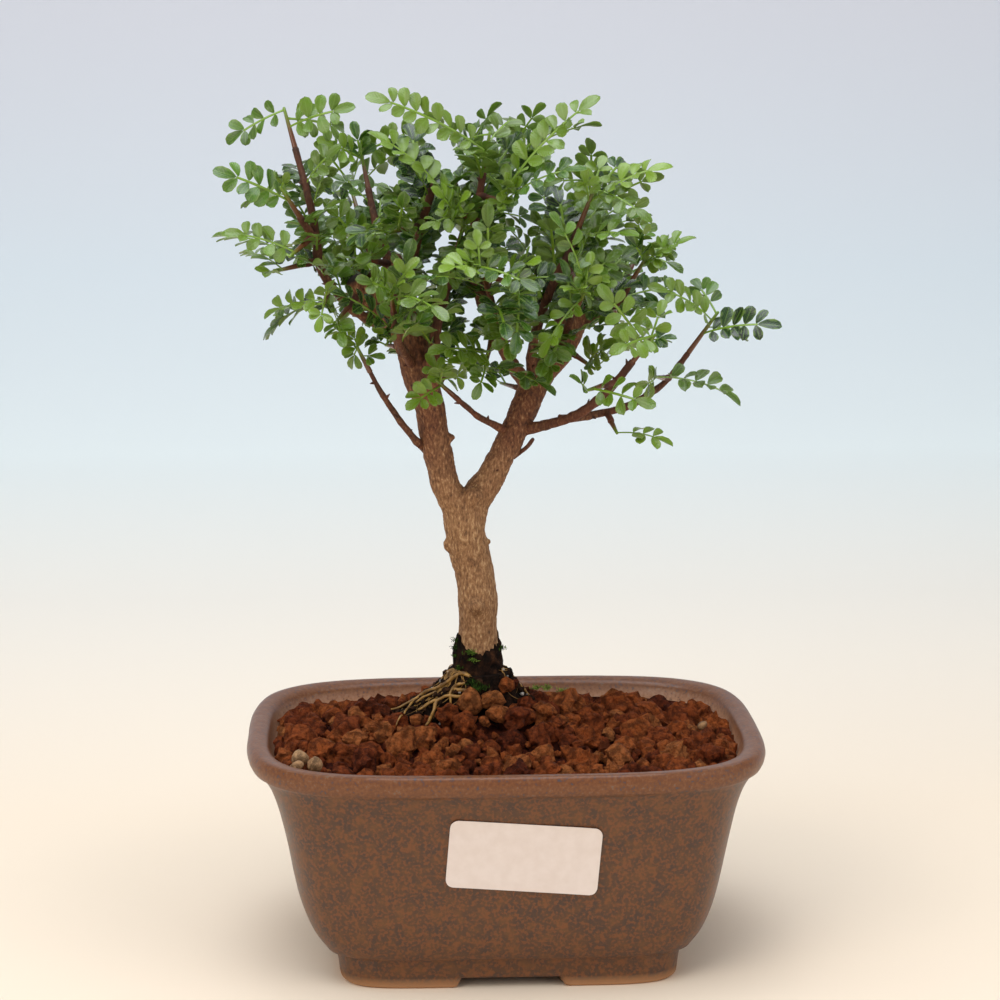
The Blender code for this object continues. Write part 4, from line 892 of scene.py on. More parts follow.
@dataclass(frozen=True)
class Bark(Finish):
    """Grown bark: grey-brown and finely cracked below, smoother and redder on young wood."""

    name: str = "grown_bark"
    roughness: float = 0.78
    crack_size: float = 0.62
    patch_size: float = 7.0

    def make(self) -> bpy.types.Material:
        """The eye gets fine upright cracks, pale flecks and darker cut ends."""
        made, tree, shader, where = self.start()
        drawn_out = node(tree, "Mapping", {"Vector": where, "Scale": (1.0, 1.0, 0.42)})
        look = {"Vector": drawn_out, "Scale": per(self.crack_size), "Detail": 7.0, "Roughness": 0.6}
        cracks = node(tree, "TexNoise", look)
        patches = node(tree, "TexNoise", {"Vector": where, "Scale": per(self.patch_size), "Detail": 3.0})
        stops = ((0.3, "#5a3e27"), (0.42, "#865e3c"), (0.56, "#a67c54"), (0.7, "#d0ac80"))
        old = node(tree, "ValToRGB", {"Fac": cracks}, stops)
        stops = ((0.32, "#3a2014"), (0.46, "#663c25"), (0.6, "#875636"), (0.7, "#b58d64"))
        limb = node(tree, "ValToRGB", {"Fac": cracks}, stops)
        stops = ((0.35, "#341b12"), (0.55, "#5c3020"), (0.7, "#774430"))
        young = node(tree, "ValToRGB", {"Fac": patches}, stops)
        height = node(tree, "Attribute", out="Fac", attribute_name="high")
        sway = node(tree, "MapRange", {"Value": patches, "To Min": -0.4, "To Max": 0.4})
        share = node(tree, "Math", {0: height, 1: sway}, operation="ADD", use_clamp=True)
        trunk = node(tree, "MixRGB", {"Fac": share, "Color1": old, "Color2": limb})
        colour = painted(tree, trunk, {"youth": young, "cut": "#2a1a12"})
        bump = node(tree, "Bump", {"Height": cracks, "Strength": 0.5, "Distance": 0.6 * MM})
        fill(tree, shader, {"Base Color": colour, "Normal": bump})
        return made


@dataclass(frozen=True)
class LiveLeaf(Finish):
    """A living leaf: waxy dark green above, paler and dull below, light along its ribs."""

    name: str = "living_leaf"
    roughness: float = 0.34
    blotch_size: float = 2.5

    def make(self) -> bpy.types.Material:
        """The eye gets glossy greens, yellow-green young growth that is partly painted light on the
        crown's outside, and fine pale veins.
        """
        made, tree, shader, where = self.start()
        tone = node(tree, "Attribute", out="Fac", attribute_name="tone")
        blotch = node(tree, "TexNoise", {"Vector": where, "Scale": per(self.blotch_size), "Detail": 4.0})
        spread = node(tree, "MapRange", {"Value": blotch, "To Min": -0.2, "To Max": 0.2})
        shade = node(tree, "Math", {0: tone, 1: spread}, operation="ADD", use_clamp=True)
        stops = ((0.0, "#0a1d05"), (0.4, "#19390a"), (0.75, "#2f5411"), (1.0, "#4e761d"))
        grown = node(tree, "ValToRGB", {"Fac": shade}, stops)
        # The young green is real new growth, and on the crown's outside also painted light: outer fronds
        # get more of it, inner ones stay darker as painted shade
        sides = painted(tree, grown, {"young": "#84a32e", "under": "#627d2c"})
        place = node(tree, "UVMap", uv_map="UVMap")
        across, along, _ = node(tree, "SeparateXYZ", {"Vector": place}).node.outputs
        away = node(tree, "Math", {0: across, 1: 0.5}, operation="SUBTRACT")
        off = node(tree, "Math", {0: away}, operation="ABSOLUTE")
        rib = node(tree, "MapRange", {"Value": off, "From Max": 0.05, "To Min": 0.55, "To Max": 0.0})
        slant = node(tree, "Math", {0: off, 1: -0.55, 2: along}, operation="MULTIPLY_ADD")
        waves = node(tree, "Math", {0: slant, 1: 46.0}, operation="MULTIPLY")
        veins = node(tree, "Math", {0: waves}, operation="SINE")
        fine = node(tree, "MapRange", {"Value": veins, "From Min": 0.6, "To Max": 0.16})
        edge = node(tree, "MapRange", {"Value": off, "From Min": 0.44, "From Max": 0.5, "To Max": 0.3})
        ribs = node(tree, "Math", {0: rib, 1: edge}, operation="ADD")
        pale = node(tree, "Math", {0: ribs, 1: fine}, operation="MAXIMUM")
        veined = node(tree, "MixRGB", {"Fac": pale, "Color1": sides, "Color2": "#7c9c42"})
        colour = painted(tree, veined, {"woody": "#6b3f28"})
        under = node(tree, "Attribute", out="Fac", attribute_name="under")
        gloss = node(tree, "MapRange", {"Value": under, "To Min": 0.27, "To Max": 0.6})
        bump = node(tree, "Bump", {"Height": veins, "Strength": 0.25, "Distance": 0.08 * MM})
        fill(tree, shader, {"Base Color": colour, "Roughness": gloss, "Normal": bump})
        fill(tree, shader, {"Coat Weight": 0.25, "Coat Roughness": 0.14, "Subsurface Weight": 0.12})
        fill(tree, shader, {"Subsurface Radius": (0.0006, 0.001, 0.0003), "Subsurface Scale": 1.0})
        return made


@dataclass(frozen=True)
class Plain(Finish):
    """An even stuff with a little clouding, such as paper, plastic or a root's skin."""

    name: str = "matt_paper"
    roughness: float = 0.6
    low: str = "#e3d5cd"
    high: str = "#e8dbd4"
    cloud_size: float = 3.0

    def make(self) -> bpy.types.Material:
        """The eye gets one colour that varies a little, as in anything that is handled."""
        made, tree, shader, where = self.start()
        clouds = node(tree, "TexNoise", {"Vector": where, "Scale": per(self.cloud_size), "Detail": 4.0})
        colour = node(tree, "ValToRGB", {"Fac": clouds}, ((0.35, self.low), (0.65, self.high)))
        fill(tree, shader, {"Base Color": colour})
        return made


# Pot

def outer_reach(z: Array | float) -> Array:
    """Return how far the outer wall stands out along the pot's length at a height."""
    heights, reaches = zip(*OUTER_WALL)
    return np.interp(z, heights, reaches)


def outline(reach: float, inset: float, z: float, count: int) -> Array:
    """Return a rounded-rectangular outline, its points evenly spaced.

    The outline is the superellipse |x/a|^n + |y/b|^n = 1, whose half depth b and power n
    follow from how far the outer wall reaches at that height.

    Args:
        reach: the outer wall's half length.
        inset: how far the outline lies inside it.
        z: its height.
        count: how many points it gets, the last one on the first.

    Returns:
        One row of x, y, z for each point.
    """
    share = (reach - FOOT_HALF_LENGTH) / (RIM_HALF_LENGTH - FOOT_HALF_LENGTH)
    half_depth = FOOT_HALF_DEPTH + share * (RIM_HALF_DEPTH - FOOT_HALF_DEPTH)
    power = 2 / (FOOT_SQUARENESS + share * (RIM_SQUARENESS - FOOT_SQUARENESS))
    across, along = np.cos(DENSE_ANGLES), np.sin(DENSE_ANGLES)
    x = (reach - inset) * np.sign(across) * np.abs(across) ** power
    y = (half_depth - inset) * np.sign(along) * np.abs(along) ** power
    gone = np.concatenate(([0], np.cumsum(np.hypot(np.diff(x), np.diff(y)))))
    places = np.linspace(0, gone[-1], count)
    return np.column_stack((np.interp(places, gone, x), np.interp(places, gone, y), np.full(count, z)))


def inner_outline(z: float, gap: float, count: int) -> Array:
    """Return the outline of the pot's inside at a height, drawn in by a gap."""
    heights, thicknesses = zip(*reversed(INNER_WALL))
    return outline(float(outer_reach(z)), float(np.interp(z, heights, thicknesses)) + gap, z, count)


def lofted(rings: Sequence[Array]) -> Array:
    """Return rings with a ring shrunk to its middle before the first and after the last."""
    ends = [np.broadcast_to(ring[:-1].mean(axis=0), ring.shape) for ring in (rings[0], rings[-1])]
    return np.array([ends[0], *rings, ends[1]])


def ring_surface(rings: Array, marks: dict[str, Array]) -> Surface:
    """Return the closed surface over rings, with u round it and v up it in millimetres."""
    rows, columns, _ = rings.shape
    u, v = np.meshgrid(np.linspace(0, 1, columns), np.arange(rows, dtype=float))
    uv = np.column_stack((u.ravel(), v.ravel()))
    return Surface(rings.reshape(-1, 3), [grid_faces(rows, columns)], uv, marks)


@dataclass
class Pot:
    """The fired pot, with its rolled lip, foot and drain holes.

    Attributes:
        points: points round each outline.
        step: distance between outlines up the wall.
        uneven: how far the hand-made wall strays.
        waves: size of the waves in which it does.
    """

    points: int = 241
    step: float = 1.3
    uneven: float = 0.14
    waves: float = 24.0

    def profile(self) -> Array:
        """Return reach, inset and height up the outside, over the lip and down the inside."""
        foot = FOOT_FOLD + [(reach, 0.0, z) for z, reach in OUTER_WALL[1:3]]
        up = [(reach, 0.0, z, 0.0) for z, reach in OUTER_WALL[2:]]
        down = [(float(outer_reach(z)), thick, z, 0.0) for z, thick in INNER_WALL]
        curved, _ = smooth_route(up + down, self.step)
        last = curved[-1]
        floor = [(last[0], last[1] + (last[0] - last[1]) * s, last[2]) for s in FLOOR_SHARES]
        return np.vstack((foot, curved[1:], floor))

    def surface(self) -> Surface:
        """Return the wall: each profile point becomes an outline, and slots lift the foot."""
        rings = lofted([outline(*row, self.points) for row in self.profile()])
        points = rings.reshape(-1, 3)
        slots = ((SLOT_HALF, points[:, 0]), (SIDE_SLOT_HALF, points[:, 1]))
        lift = np.max([smoothstep(0, SLOT_EDGE, half - np.abs(x)) for half, x in slots], axis=0)
        points[:, 2] = np.maximum(points[:, 2], SLOT_HEIGHT * lift)
        out = unit(points * (1, 1, 0) + (0, 0, 1e-9))
        points += out * (self.uneven * rough(points, self.waves, seed=5, octaves=3))[:, None]
        row = np.repeat(np.arange(len(rings)), self.points)
        height = points[:, 2]
        top = int(np.argmax(rings[:, 0, 2]))
        inside = smoothstep(top, top + 3, row)
        lip = smoothstep(LIP_LOW, LIP_HIGH, height) * (1 - smoothstep(top + 5, top + 8, row))
        worn = WORN_HEIGHT + WORN_SWAY * rough(points, 5.0, seed=9, octaves=2)
        bare = (1 - smoothstep(0, 0.5, height - worn)) * (1 - inside)
        return ring_surface(points.reshape(rings.shape), {"lip": lip, "inside": inside, "bare": bare})

    def build(self) -> None:
        """Add the pot, with its two drain holes cut."""
        body = placed("pot_body", to_mesh("pot_glazed", self.surface()))
        spare = [body]
        round_ = level(around(np.linspace(0, 2 * math.pi, DRILL_POINTS)) * DRAIN_RADIUS, 0)
        for side in (-1, 1):
            rings = lofted([round_ + (side * DRAIN_OFFSET, 0, z) for z in DRILL_ENDS])
            drill = placed("drill", to_mesh("drill", ring_surface(rings, {})))
            cut = body.modifiers.new("Drain", "BOOLEAN")
            cut.operation = "DIFFERENCE"
            cut.object = drill
            spare.append(drill)
        drilled = applied(body)
        for used in spare:
            bpy.data.objects.remove(used, do_unlink=True)
        drilled.name = "pot_glazed"
        add_piece("pot_glazed", drilled, IronGlaze().make(), ["pot"])


# Soil and root ball

def mound_share(points: Array) -> Array:
    """Return how far out on the peat mound points lie: 0 at the stump's collar, 1 at its rim.

    The mound's level curves are ellipses whose middle and half axes change evenly from the
    collar to the rim. The share of a point is found by halving.

    Args:
        points: rows that start with x and y.

    Returns:
        The shares, kept between 0 and 1.
    """
    low, high = np.zeros(len(points)), np.ones(len(points))
    for _ in range(14):
        share = (low + high) / 2
        x = points[:, 0] - STUMP_X - share * (PLUG_X - STUMP_X)
        y = points[:, 1] - STUMP_Y - share * (PLUG_Y - STUMP_Y)
        x = x / (COLLAR_RADIUS + share * (PLUG_HALF_LENGTH - COLLAR_RADIUS))
        y = y / (COLLAR_RADIUS + share * (PLUG_HALF_DEPTH - COLLAR_RADIUS))
        outside = x * x + y * y > 1
        low, high = np.where(outside, share, low), np.where(outside, high, share)
    return (low + high) / 2


def soil_height(points: Array) -> Array:
    """Return the soil's height: z = edge + crown exp(-((x-a)/b)^2 - ((y-c)/d)^2)."""
    x, y = (points[:, 0] - PLUG_X) / SOIL_SPREAD_X, (points[:, 1] - PLUG_Y) / SOIL_SPREAD_Y
    return SOIL_EDGE + SOIL_CROWN * np.exp(-(x**2 + y**2))


def mound_height(share: Array) -> Array:
    """Return the mound's height at a share of the way from the collar to the rim."""
    known, heights = zip(*reversed(PLUG_TOP))
    return np.interp(share, known, heights)


def slump(points: Array) -> Array:
    """Return how much lower the mound's left flank lies behind its roots."""
    return SLUMP * smoothstep(0, 7, points[:, 1]) * smoothstep(-13, -19, points[:, 0])


def ground(points: Array) -> Array:
    """Return the height of soil or mound at places."""
    share = mound_share(points)
    return np.where(share < 0.99, mound_height(share) - slump(points), soil_height(points))


def back_dip(points: Array) -> Array:
    """Return how much lower the loose granules lie along the back wall, less so on the right."""
    return BACK_DIP * smoothstep(10, 36, points[:, 1]) * (1 - 0.45 * smoothstep(5, 30, points[:, 0]))


def plug_outline(angles: Array, inset: float = 0.0, share: float = 1.0) -> Array:
    """Return x and y of the plug's oval rim at each angle."""
    x = PLUG_X + (PLUG_HALF_LENGTH * share - inset) * np.cos(angles)
    y = PLUG_Y + (PLUG_HALF_DEPTH * share - inset) * np.sin(angles)
    return np.column_stack((x, y))


def on_mound(angles: Array, share: Array, radius: float = COLLAR_RADIUS) -> Array:
    """Return x and y at each angle, a share of the way from the collar's radius to the rim."""
    collar = around(angles) * radius + (STUMP_X, STUMP_Y)
    return collar + (plug_outline(angles) - collar) * share[:, None]


@dataclass
class Soil:
    """The fill of fired clay granules, with loose granules over its top.

    Attributes:
        points: points round each outline.
        rings: outlines between the wall and the root ball.
        depth: how far the fill's top lies below the ground of the granules.
        relief: height of its bumps.
        sizes: radius range, number of throws, how much of the radius stands out, and where.
        nearest: how near two granules may lie, as a share of their radii's sum.
    """

    points: int = 201
    rings: int = 26
    depth: float = 1.0
    relief: float = 0.9
    sizes: tuple[tuple[float, float, int, float, tuple[float, ...]], ...] = (
        (1.9, 3.2, 500, 0.3, MOUND_FRONT),
        (3.0, 4.3, 520, -0.1, WHOLE_TOP),
        (1.9, 2.9, 1800, 0.0, WHOLE_TOP),
        (1.1, 1.8, 4600, 0.1, WHOLE_TOP),
    )
    nearest: float = 0.86
    draw: np.random.Generator = field(default_factory=lambda: np.random.default_rng(11))

    def surface(self) -> Surface:
        """Return the fill from floor to top, and down the pit that holds the root ball."""
        between = [z for z, _ in reversed(INNER_WALL) if FLOOR_TOP < z < SOIL_EDGE]
        rings = [inner_outline(z, FILL_GAP, self.points) for z in (SOIL_BOTTOM, *between, SOIL_EDGE)]
        edge = rings[-1]
        angles = np.arctan2(edge[:, 1] / RIM_HALF_DEPTH, edge[:, 0] / RIM_HALF_LENGTH)
        pit = level(plug_outline(angles), SOIL_EDGE)
        for k in range(1, self.rings + 1):
            ring = edge + (pit - edge) * (k / self.rings)
            uneven = self.relief * rough(ring * (1, 1, 0), 2.4, seed=4, octaves=3)
            ring[:, 2] = soil_height(ring) - self.depth + uneven
            ring[:, 2] -= 0.8 * back_dip(ring)
            rings.append(ring)
        rings.append(level(plug_outline(angles, share=PLUG_TAPER), PLUG_BOTTOM))
        rings = lofted(rings)
        tone = 0.05 + 0.2 * rough(rings.reshape(-1, 3), 2.5, seed=8)
        return ring_surface(rings, {"tone": tone})

    def granules(self) -> Surface:
        """Return loose granules thrown so that they touch but hardly overlap."""
        kept = np.array(LARGE_GRANULES)
        stands = [LARGE_STAND] * len(kept)
        for low, high, throws, stand, area in self.sizes:
            where = self.draw.uniform(area[:2], area[2:], (throws, 2))
            radii = self.draw.uniform(low, high, throws)
            room = self.room(where, radii)
            for (x, y), radius in zip(where[room], radii[room]):
                apart = np.hypot(kept[:, 0] - x, kept[:, 1] - y)
                if (apart > self.nearest * (kept[:, 2] + radius)).all():
                    kept = np.vstack((kept, (x, y, radius)))
                    stands.append(stand)
        radii = kept[:, 2]
        up = ground(kept) + radii * (np.array(stands) + self.draw.uniform(-0.15, 0.15, len(kept)))
        up -= back_dip(kept)
        away = ((kept[:, 0] - HEAP_X) / HEAP_SPREAD_X) ** 2 + ((kept[:, 1] - HEAP_Y) / HEAP_SPREAD_Y) ** 2
        middles = np.column_stack((kept[:, :2], up + HEAP_HEIGHT * np.exp(-away)))
        LOG.info("granules: %d", len(kept))
        by_size = np.argsort(-radii)
        found = []
        for chosen, detail in ((by_size[:FINE_GRANULES], 3), (by_size[FINE_GRANULES:], 2)):
            found.append(
                lumps(middles[chosen], radii[chosen], self.draw, detail, crumble=0.5, broken=1.0)
            )
        return joined(found)

    def room(self, where: Array, radii: Array) -> Array:
        """Tell which places lie inside the wall and off the bare peat and the roots."""
        x, y = where.T
        inner = float(outer_reach(SOIL_EDGE)) - INNER_WALL[1][1]
        half_depth = inner - (RIM_HALF_LENGTH - RIM_HALF_DEPTH)
        wall = np.abs(x / (inner - 0.9 * radii)) ** RIM_SQUARENESS
        inside = wall + np.abs(y / (half_depth - 0.9 * radii)) ** RIM_SQUARENESS < 1
        share = mound_share(where)
        angle = np.degrees(np.arctan2(y - STUMP_Y, x - STUMP_X)) % 360
        front = (angle > FRONT_FROM) & (angle < FRONT_TO)
        clear = np.hypot(x - HOLLOW_X, y - HOLLOW_Y) > HOLLOW_RADIUS + 0.6 * radii
        return inside & clear & ((share > 0.97) | (front & (share > 0.1)))

    def build(self) -> None:
        """Add the fill, its loose granules and a few pale pebbles."""
        finish = Grain().make()
        add_piece("soil_fill", self.surface(), finish, ["soil"])
        loose = to_mesh("loose_granules", self.granules(), GRAIN_ANGLE)
        add_piece("loose_granules", loose, finish, ["soil"])
        rows = np.array(PEBBLES)
        pebbles = lumps(rows[:, :3], rows[:, 3], self.draw, crumble=0.12)
        pale = Grain("river_pebbles", 0.7, shades=("#6d4a30", "#99724f", "#c29a70"), relief=0.1).make()
        add_piece("pebbles", pebbles, pale, ["soil"])


@dataclass
class RootBall:
    """The dark peat plug with its mound, the coat round the trunk's foot, roots and moss.

    Attributes:
        points: points round the mound.
        rings: rings from its rim to the collar.
        relief: height of its bumps.
    """

    points: int = 181
    rings: int = 44
    relief: float = 0.7
    draw: np.random.Generator = field(default_factory=lambda: np.random.default_rng(23))

    def surface(self) -> Surface:
        """Return the plug: its ellipses shrink from the rim to the collar, with fine relief."""
        angles = np.linspace(0, 2 * math.pi, self.points)
        round_ = around(angles)
        collar = round_ * COLLAR_RADIUS + (STUMP_X, STUMP_Y)
        rim = plug_outline(angles, 2.5 * FILL_GAP)
        rings = [level(plug_outline(angles, 3 * FILL_GAP, PLUG_TAPER), PLUG_BOTTOM + CLEARANCE)]
        for share in np.linspace(1, 0, self.rings):
            ring = level(collar + (rim - collar) * share, mound_height(share))
            ring[:, 2] -= slump(ring) * smoothstep(1.0, 0.9, share)
            fade = math.sin(math.pi * min(1.0, 1.2 * share))
            ring[:, 2] += self.relief * fade * rough(ring, 2.4, seed=6, octaves=3)
            rings.append(ring)
        hole = round_ * (STUMP_RADIUS + 0.6) + (STUMP_X, STUMP_Y)
        rings += [level(hole, PLUG_TOP[-1][1]), level(hole, STUMP_BOTTOM)]
        rings = lofted(rings)
        tone = 0.35 + 0.3 * rough(rings.reshape(-1, 3), 1.6, seed=12, octaves=2)
        return ring_surface(rings, {"tone": tone})

    def coat(self) -> Surface:
        """Return the peat that clings to the trunk, its top edge torn at random heights."""
        angles = np.linspace(0, 2 * math.pi, self.points)
        round_ = level(around(angles), 0)
        torn = COAT_TORN * rough(round_ * 6, 2.2, seed=31, octaves=3)
        torn = COAT_TOP + torn + COAT_RISE * np.cos(angles) ** 2
        rings = []
        for out, share in COAT_PROFILE:
            ring = round_ * out + (STUMP_X, STUMP_Y, 0)
            ring[:, 2] = COAT_FOOT + (torn - COAT_FOOT) * share
            bulge = 0.6 * rough(ring, 1.7, seed=17, octaves=3) * math.sin(math.pi * share) ** 0.5
            rings.append(ring + round_ * bulge[:, None])
        rings = lofted(rings)
        tone = 0.3 + 0.3 * rough(rings.reshape(-1, 3), 1.3, seed=13, octaves=2)
        return ring_surface(rings, {"tone": tone})

    def crumbs(self) -> Surface:
        """Return peat crumbs scattered over the mound."""
        angles = self.draw.uniform(0, 2 * math.pi, CRUMBS)
        share = self.draw.uniform(0, 1.05, CRUMBS)
        heading = np.degrees(angles)
        bare = (heading < FRONT_FROM) | (heading > FRONT_TO) | (share < 0.3)
        flat = on_mound(angles, share)[bare]
        radii = self.draw.uniform(0.35, 1.1, len(flat))
        return lumps(level(flat, ground(flat) + 0.2 * radii), radii, self.draw, detail=1, crumble=0.35)

    def specks(self) -> Surface:
        """Return pale bits, most of them on the mound's right slope."""
        flat = np.empty((PALE_COUNT, 2))
        for middle, spread, first in PALE_BITS:
            flat[first:] = self.draw.normal(middle, spread, (PALE_COUNT - first, 2))
        radii = self.draw.uniform(0.3, 0.75, len(flat))
        return lumps(level(flat, ground(flat) + 0.3), radii, self.draw, detail=1, crumble=0.2)

    def roots(self) -> Surface:
        """Return the ochre roots and hair roots that run down the mound from the collar."""
        found = [self.laid(route) for route in ROOTS]
        for _ in range(HAIR_ROOTS):
            sector = HAIR_SECTOR if self.draw.random() < HAIR_SECTOR_SHARE else HAIR_OTHERS
            heading = self.draw.uniform(*sector)
            reach, bend = self.draw.uniform(0.3, 1.0), self.draw.uniform(-0.5, 0.5)
            thick = self.draw.uniform(0.08, 0.17)
            found.append(self.root(heading, reach, bend, thick, 0.45 * thick, 1.1))
        return joined(found)

    def laid(self, route: Route) -> Surface:
        """Return a root laid over the mound, bent a little and uneven in thickness."""
        path, radii = smooth_route(route, 0.7)
        path[:, 2] += ground(path)
        for _ in range(4):
            path[1:-1, 2] = (path[:-2, 2] + path[1:-1, 2] + path[2:, 2]) / 3
        path += wander(path, 2.2)
        return tube(path, radii * (1 + 0.22 * rough(path, 1.4, seed=7)), 8)

    def root(
        self, heading: float, reach: float, bend: float, start: float, end: float, sway: float
    ) -> Surface:
        """Return a root that follows the mound out from the collar, swaying as it goes."""
        steps = np.linspace(0, 1, 26)
        shares = np.clip(reach * steps, 0, None)
        wave = bend * np.sin(3 * steps) + 0.05 * sway * np.sin(11 * steps + heading)
        angles = math.radians(heading) + wave
        flat = on_mound(angles, shares, COLLAR_RADIUS - 1.5)
        radii = start + (end - start) * steps
        path = level(flat, ground(flat) + 0.4 * radii + 0.8 * (1 - steps) ** 6)
        return tube(path, radii * (1 + 0.14 * rough(path, 2.0, seed=int(heading))), 8)

    def moss(self) -> Surface:
        """Return moss tufts: thin three-sided blades that fan out from each tuft."""
        blades = []
        tones = []
        for x, y, z, size, shade in MOSS:
            count = int(MOSS_BLADES * size)
            lean = unit(self.draw.normal(size=(count, 3)) * (1, 1, 0.7) + (0, -0.3, 0.9))
            base = np.array((x, y, z)) + self.draw.normal(0, 0.75 * size, (count, 3)) * (1.2, 0.8, 0.5)
            long = self.draw.uniform(0.8, 1.7, (count, 1)) * size
            side = unit(np.cross(lean, self.draw.normal(size=(count, 3)))) * MOSS_HALF_WIDTH
            other = np.cross(lean, side)
            corners = (
                base + side, base - 0.5 * side + other, base - 0.5 * side - other, base + lean * long
            )
            blades.append(np.stack(corners, axis=1))
            tones.append(np.clip(self.draw.normal(shade, 0.15, count), 0, 1))
        points = np.concatenate(blades)
        count = len(points)
        pyramid = np.array([(0, 2, 1), (0, 1, 3), (1, 2, 3), (2, 0, 3)])
        flat = points.reshape(-1, 3)
        tone = np.repeat(np.concatenate(tones), 4)
        return Surface(
            flat, [repeated_faces(pyramid, 4, count)], np.zeros((len(flat), 2)), {"tone": tone}
        )

    def build(self) -> None:
        """Add the plug, its coat, crumbs, pale bits, roots and moss."""
        shades = ("#140c08", "#291a11", "#42291b", "#60422b")
        peat = Grain("pressed_peat", 0.97, shades=shades, grain_size=0.7, relief=0.6).make()
        shades = ("#170e09", "#352015", "#593822", "#8a5c3a")
        clinging = Grain("clinging_peat", 0.95, shades=shades, grain_size=1.1, relief=0.6).make()
        pale = Grain("perlite", 0.9, shades=("#b9ada0", "#d9d2c8"), relief=0.15).make()
        green = Grain(
            "living_moss", 0.8, shades=("#1f350e", "#38561a", "#5f7f2c", "#a8c258"), relief=0.05
        ).make()
        skin = Plain("root_skin", 0.45, low="#6b4a1c", high="#b98a42", cloud_size=2.0).make()
        parts = (
            ("root_plug", self.surface(), peat),
            ("peat_coat", self.coat(), clinging),
            ("peat_crumbs", self.crumbs(), peat),
            ("pale_bits", self.specks(), pale),
            ("surface_roots", self.roots(), skin),
            ("moss", self.moss(), green),
        )
        for name, surface, finish in parts:
            add_piece(name, surface, finish, ["root_ball"])


@dataclass
class Label:
    """The blank paper label stuck on the front wall.

    Attributes:
        columns: points across it.
        rows: points up it.
        curl: how far its corners have come away.
    """

    columns: int = 61
    rows: int = 31
    curl: float = 0.25

    def surface(self) -> Surface:
        """Return the label: a rounded rectangle laid on the wall, a front and a back sheet.

        A point (s, t) of a square goes to the rectangle, and near the corners it is drawn
        in until |x|, |z| lie on the corner's circle. Its depth is the wall's at its height.
        """
        s, t = np.meshgrid(np.linspace(-1, 1, self.columns), np.linspace(-1, 1, self.rows))
        x, z = LABEL_LENGTH / 2 * s.ravel(), LABEL_HEIGHT / 2 * t.ravel()
        flat_x, flat_z = LABEL_LENGTH / 2 - LABEL_CORNER, LABEL_HEIGHT / 2 - LABEL_CORNER
        over = np.column_stack((np.maximum(np.abs(x) - flat_x, 0), np.maximum(np.abs(z) - flat_z, 0)))
        long = np.hypot(*over.T)
        fit = np.where(long > 1e-9, over.max(axis=1) / np.maximum(long, 1e-9), 1.0)
        x = np.sign(x) * (np.minimum(np.abs(x), flat_x) + over[:, 0] * fit)
        z = np.sign(z) * (np.minimum(np.abs(z), flat_z) + over[:, 1] * fit)
        corner = (np.abs(s.ravel()) * np.abs(t.ravel())) ** 6
        turn_x = math.cos(LABEL_TILT) * x + math.sin(LABEL_TILT) * z + LABEL_X
        turn_z = -math.sin(LABEL_TILT) * x + math.cos(LABEL_TILT) * z + LABEL_Z
        share = (outer_reach(turn_z) - FOOT_HALF_LENGTH) / (RIM_HALF_LENGTH - FOOT_HALF_LENGTH)
        wall = -(FOOT_HALF_DEPTH + share * (RIM_HALF_DEPTH - FOOT_HALF_DEPTH))
        sheets = [
            np.column_stack((turn_x, wall - out - self.curl * corner, turn_z)) for out in LABEL_SHEETS
        ]
        grid = grid_faces(self.rows, self.columns)
        count = self.rows * self.columns
        index = np.arange(count).reshape(self.rows, self.columns)
        border = np.concatenate((index[0, :-1], index[:-1, -1], index[-1, :0:-1], index[:0:-1, 0]))
        ahead = np.roll(border, -1)
        edge = np.column_stack((border, ahead, ahead + count, border + count))
        uv = np.tile(np.column_stack((s.ravel(), t.ravel())), (2, 1))
        return Surface(np.concatenate(sheets), [grid, grid + count, edge], uv)

    def build(self) -> None:
        """Add the label."""
        add_piece("label_sheet", self.surface(), Plain().make(), ["label"])


# Where the fronds stand: the same rule and the same random draws as for the solids

class Frond:
    """A pinnate leaf on an arched rachis, from its base to the tip of its last leaflet."""

    def __init__(self, base: Array, tip: Array, face: Array) -> None:
        """Set the frond's chord, its side and its upper side."""
        self.base = base
        self.chord = tip - base
        self.length = float(np.linalg.norm(self.chord))
        along = self.chord / self.length
        self.side = unit(np.cross(along, face))
        self.normal = np.cross(self.side, along)
        self.arch = 4 * FROND_ARCH * self.length

    def at(self, t: Array) -> tuple[Array, Array, Array]:
        """Return points, headings and upper sides of the rachis at shares t of it."""
        t = np.asarray(t)[:, None]
        point = self.base + self.chord * t + self.normal * self.arch * t * (1 - t)
        heading = unit(self.chord + self.normal * self.arch * (1 - 2 * t))
        return point, heading, np.cross(self.side, heading)

    def samples(self) -> tuple[Array, Array]:
        """Return points over the blade, about 4 mm apart, and the share of each."""
        t = np.repeat(np.linspace(0.1, 1.0, 9), 5)
        across = np.tile(np.linspace(-1, 1, 5), 9)
        half = FROND_HALF_WIDTH * np.clip((t - 0.1) * 5, 0, 1) * np.clip((1.12 - t) * 3, 0, 1)
        lift = math.sin(LEAFLET_LIFT) * half * np.abs(across) + self.arch * t * (1 - t)
        points = self.base + t[:, None] * self.chord + (half * across)[:, None] * self.side
        return points + lift[:, None] * self.normal, t


@dataclass
class Shoot:
    """A green shoot: where it starts and ends, its heading and how many fronds it carries."""

    start: Array
    end: Array
    heading: Array
    count: int

    def base(self, index: int) -> Array:
        """Return where the frond of that number leaves the shoot."""
        return self.start + (self.end - self.start) * (0.3 + 0.65 * (index + 1) / self.count)


def facing(direction: Array, degrees: float, front: Sequence[float]) -> Array:
    """Return the upper side of a blade turned by degrees from level towards the front."""
    angle = math.radians(degrees)
    up = np.array((0.0, 0.0, math.cos(angle))) + np.array(front) * math.sin(angle)
    if np.linalg.norm(np.cross(direction, up)) < 0.2:
        up = up + np.array((0.3, -0.4, 0.0))
    return up


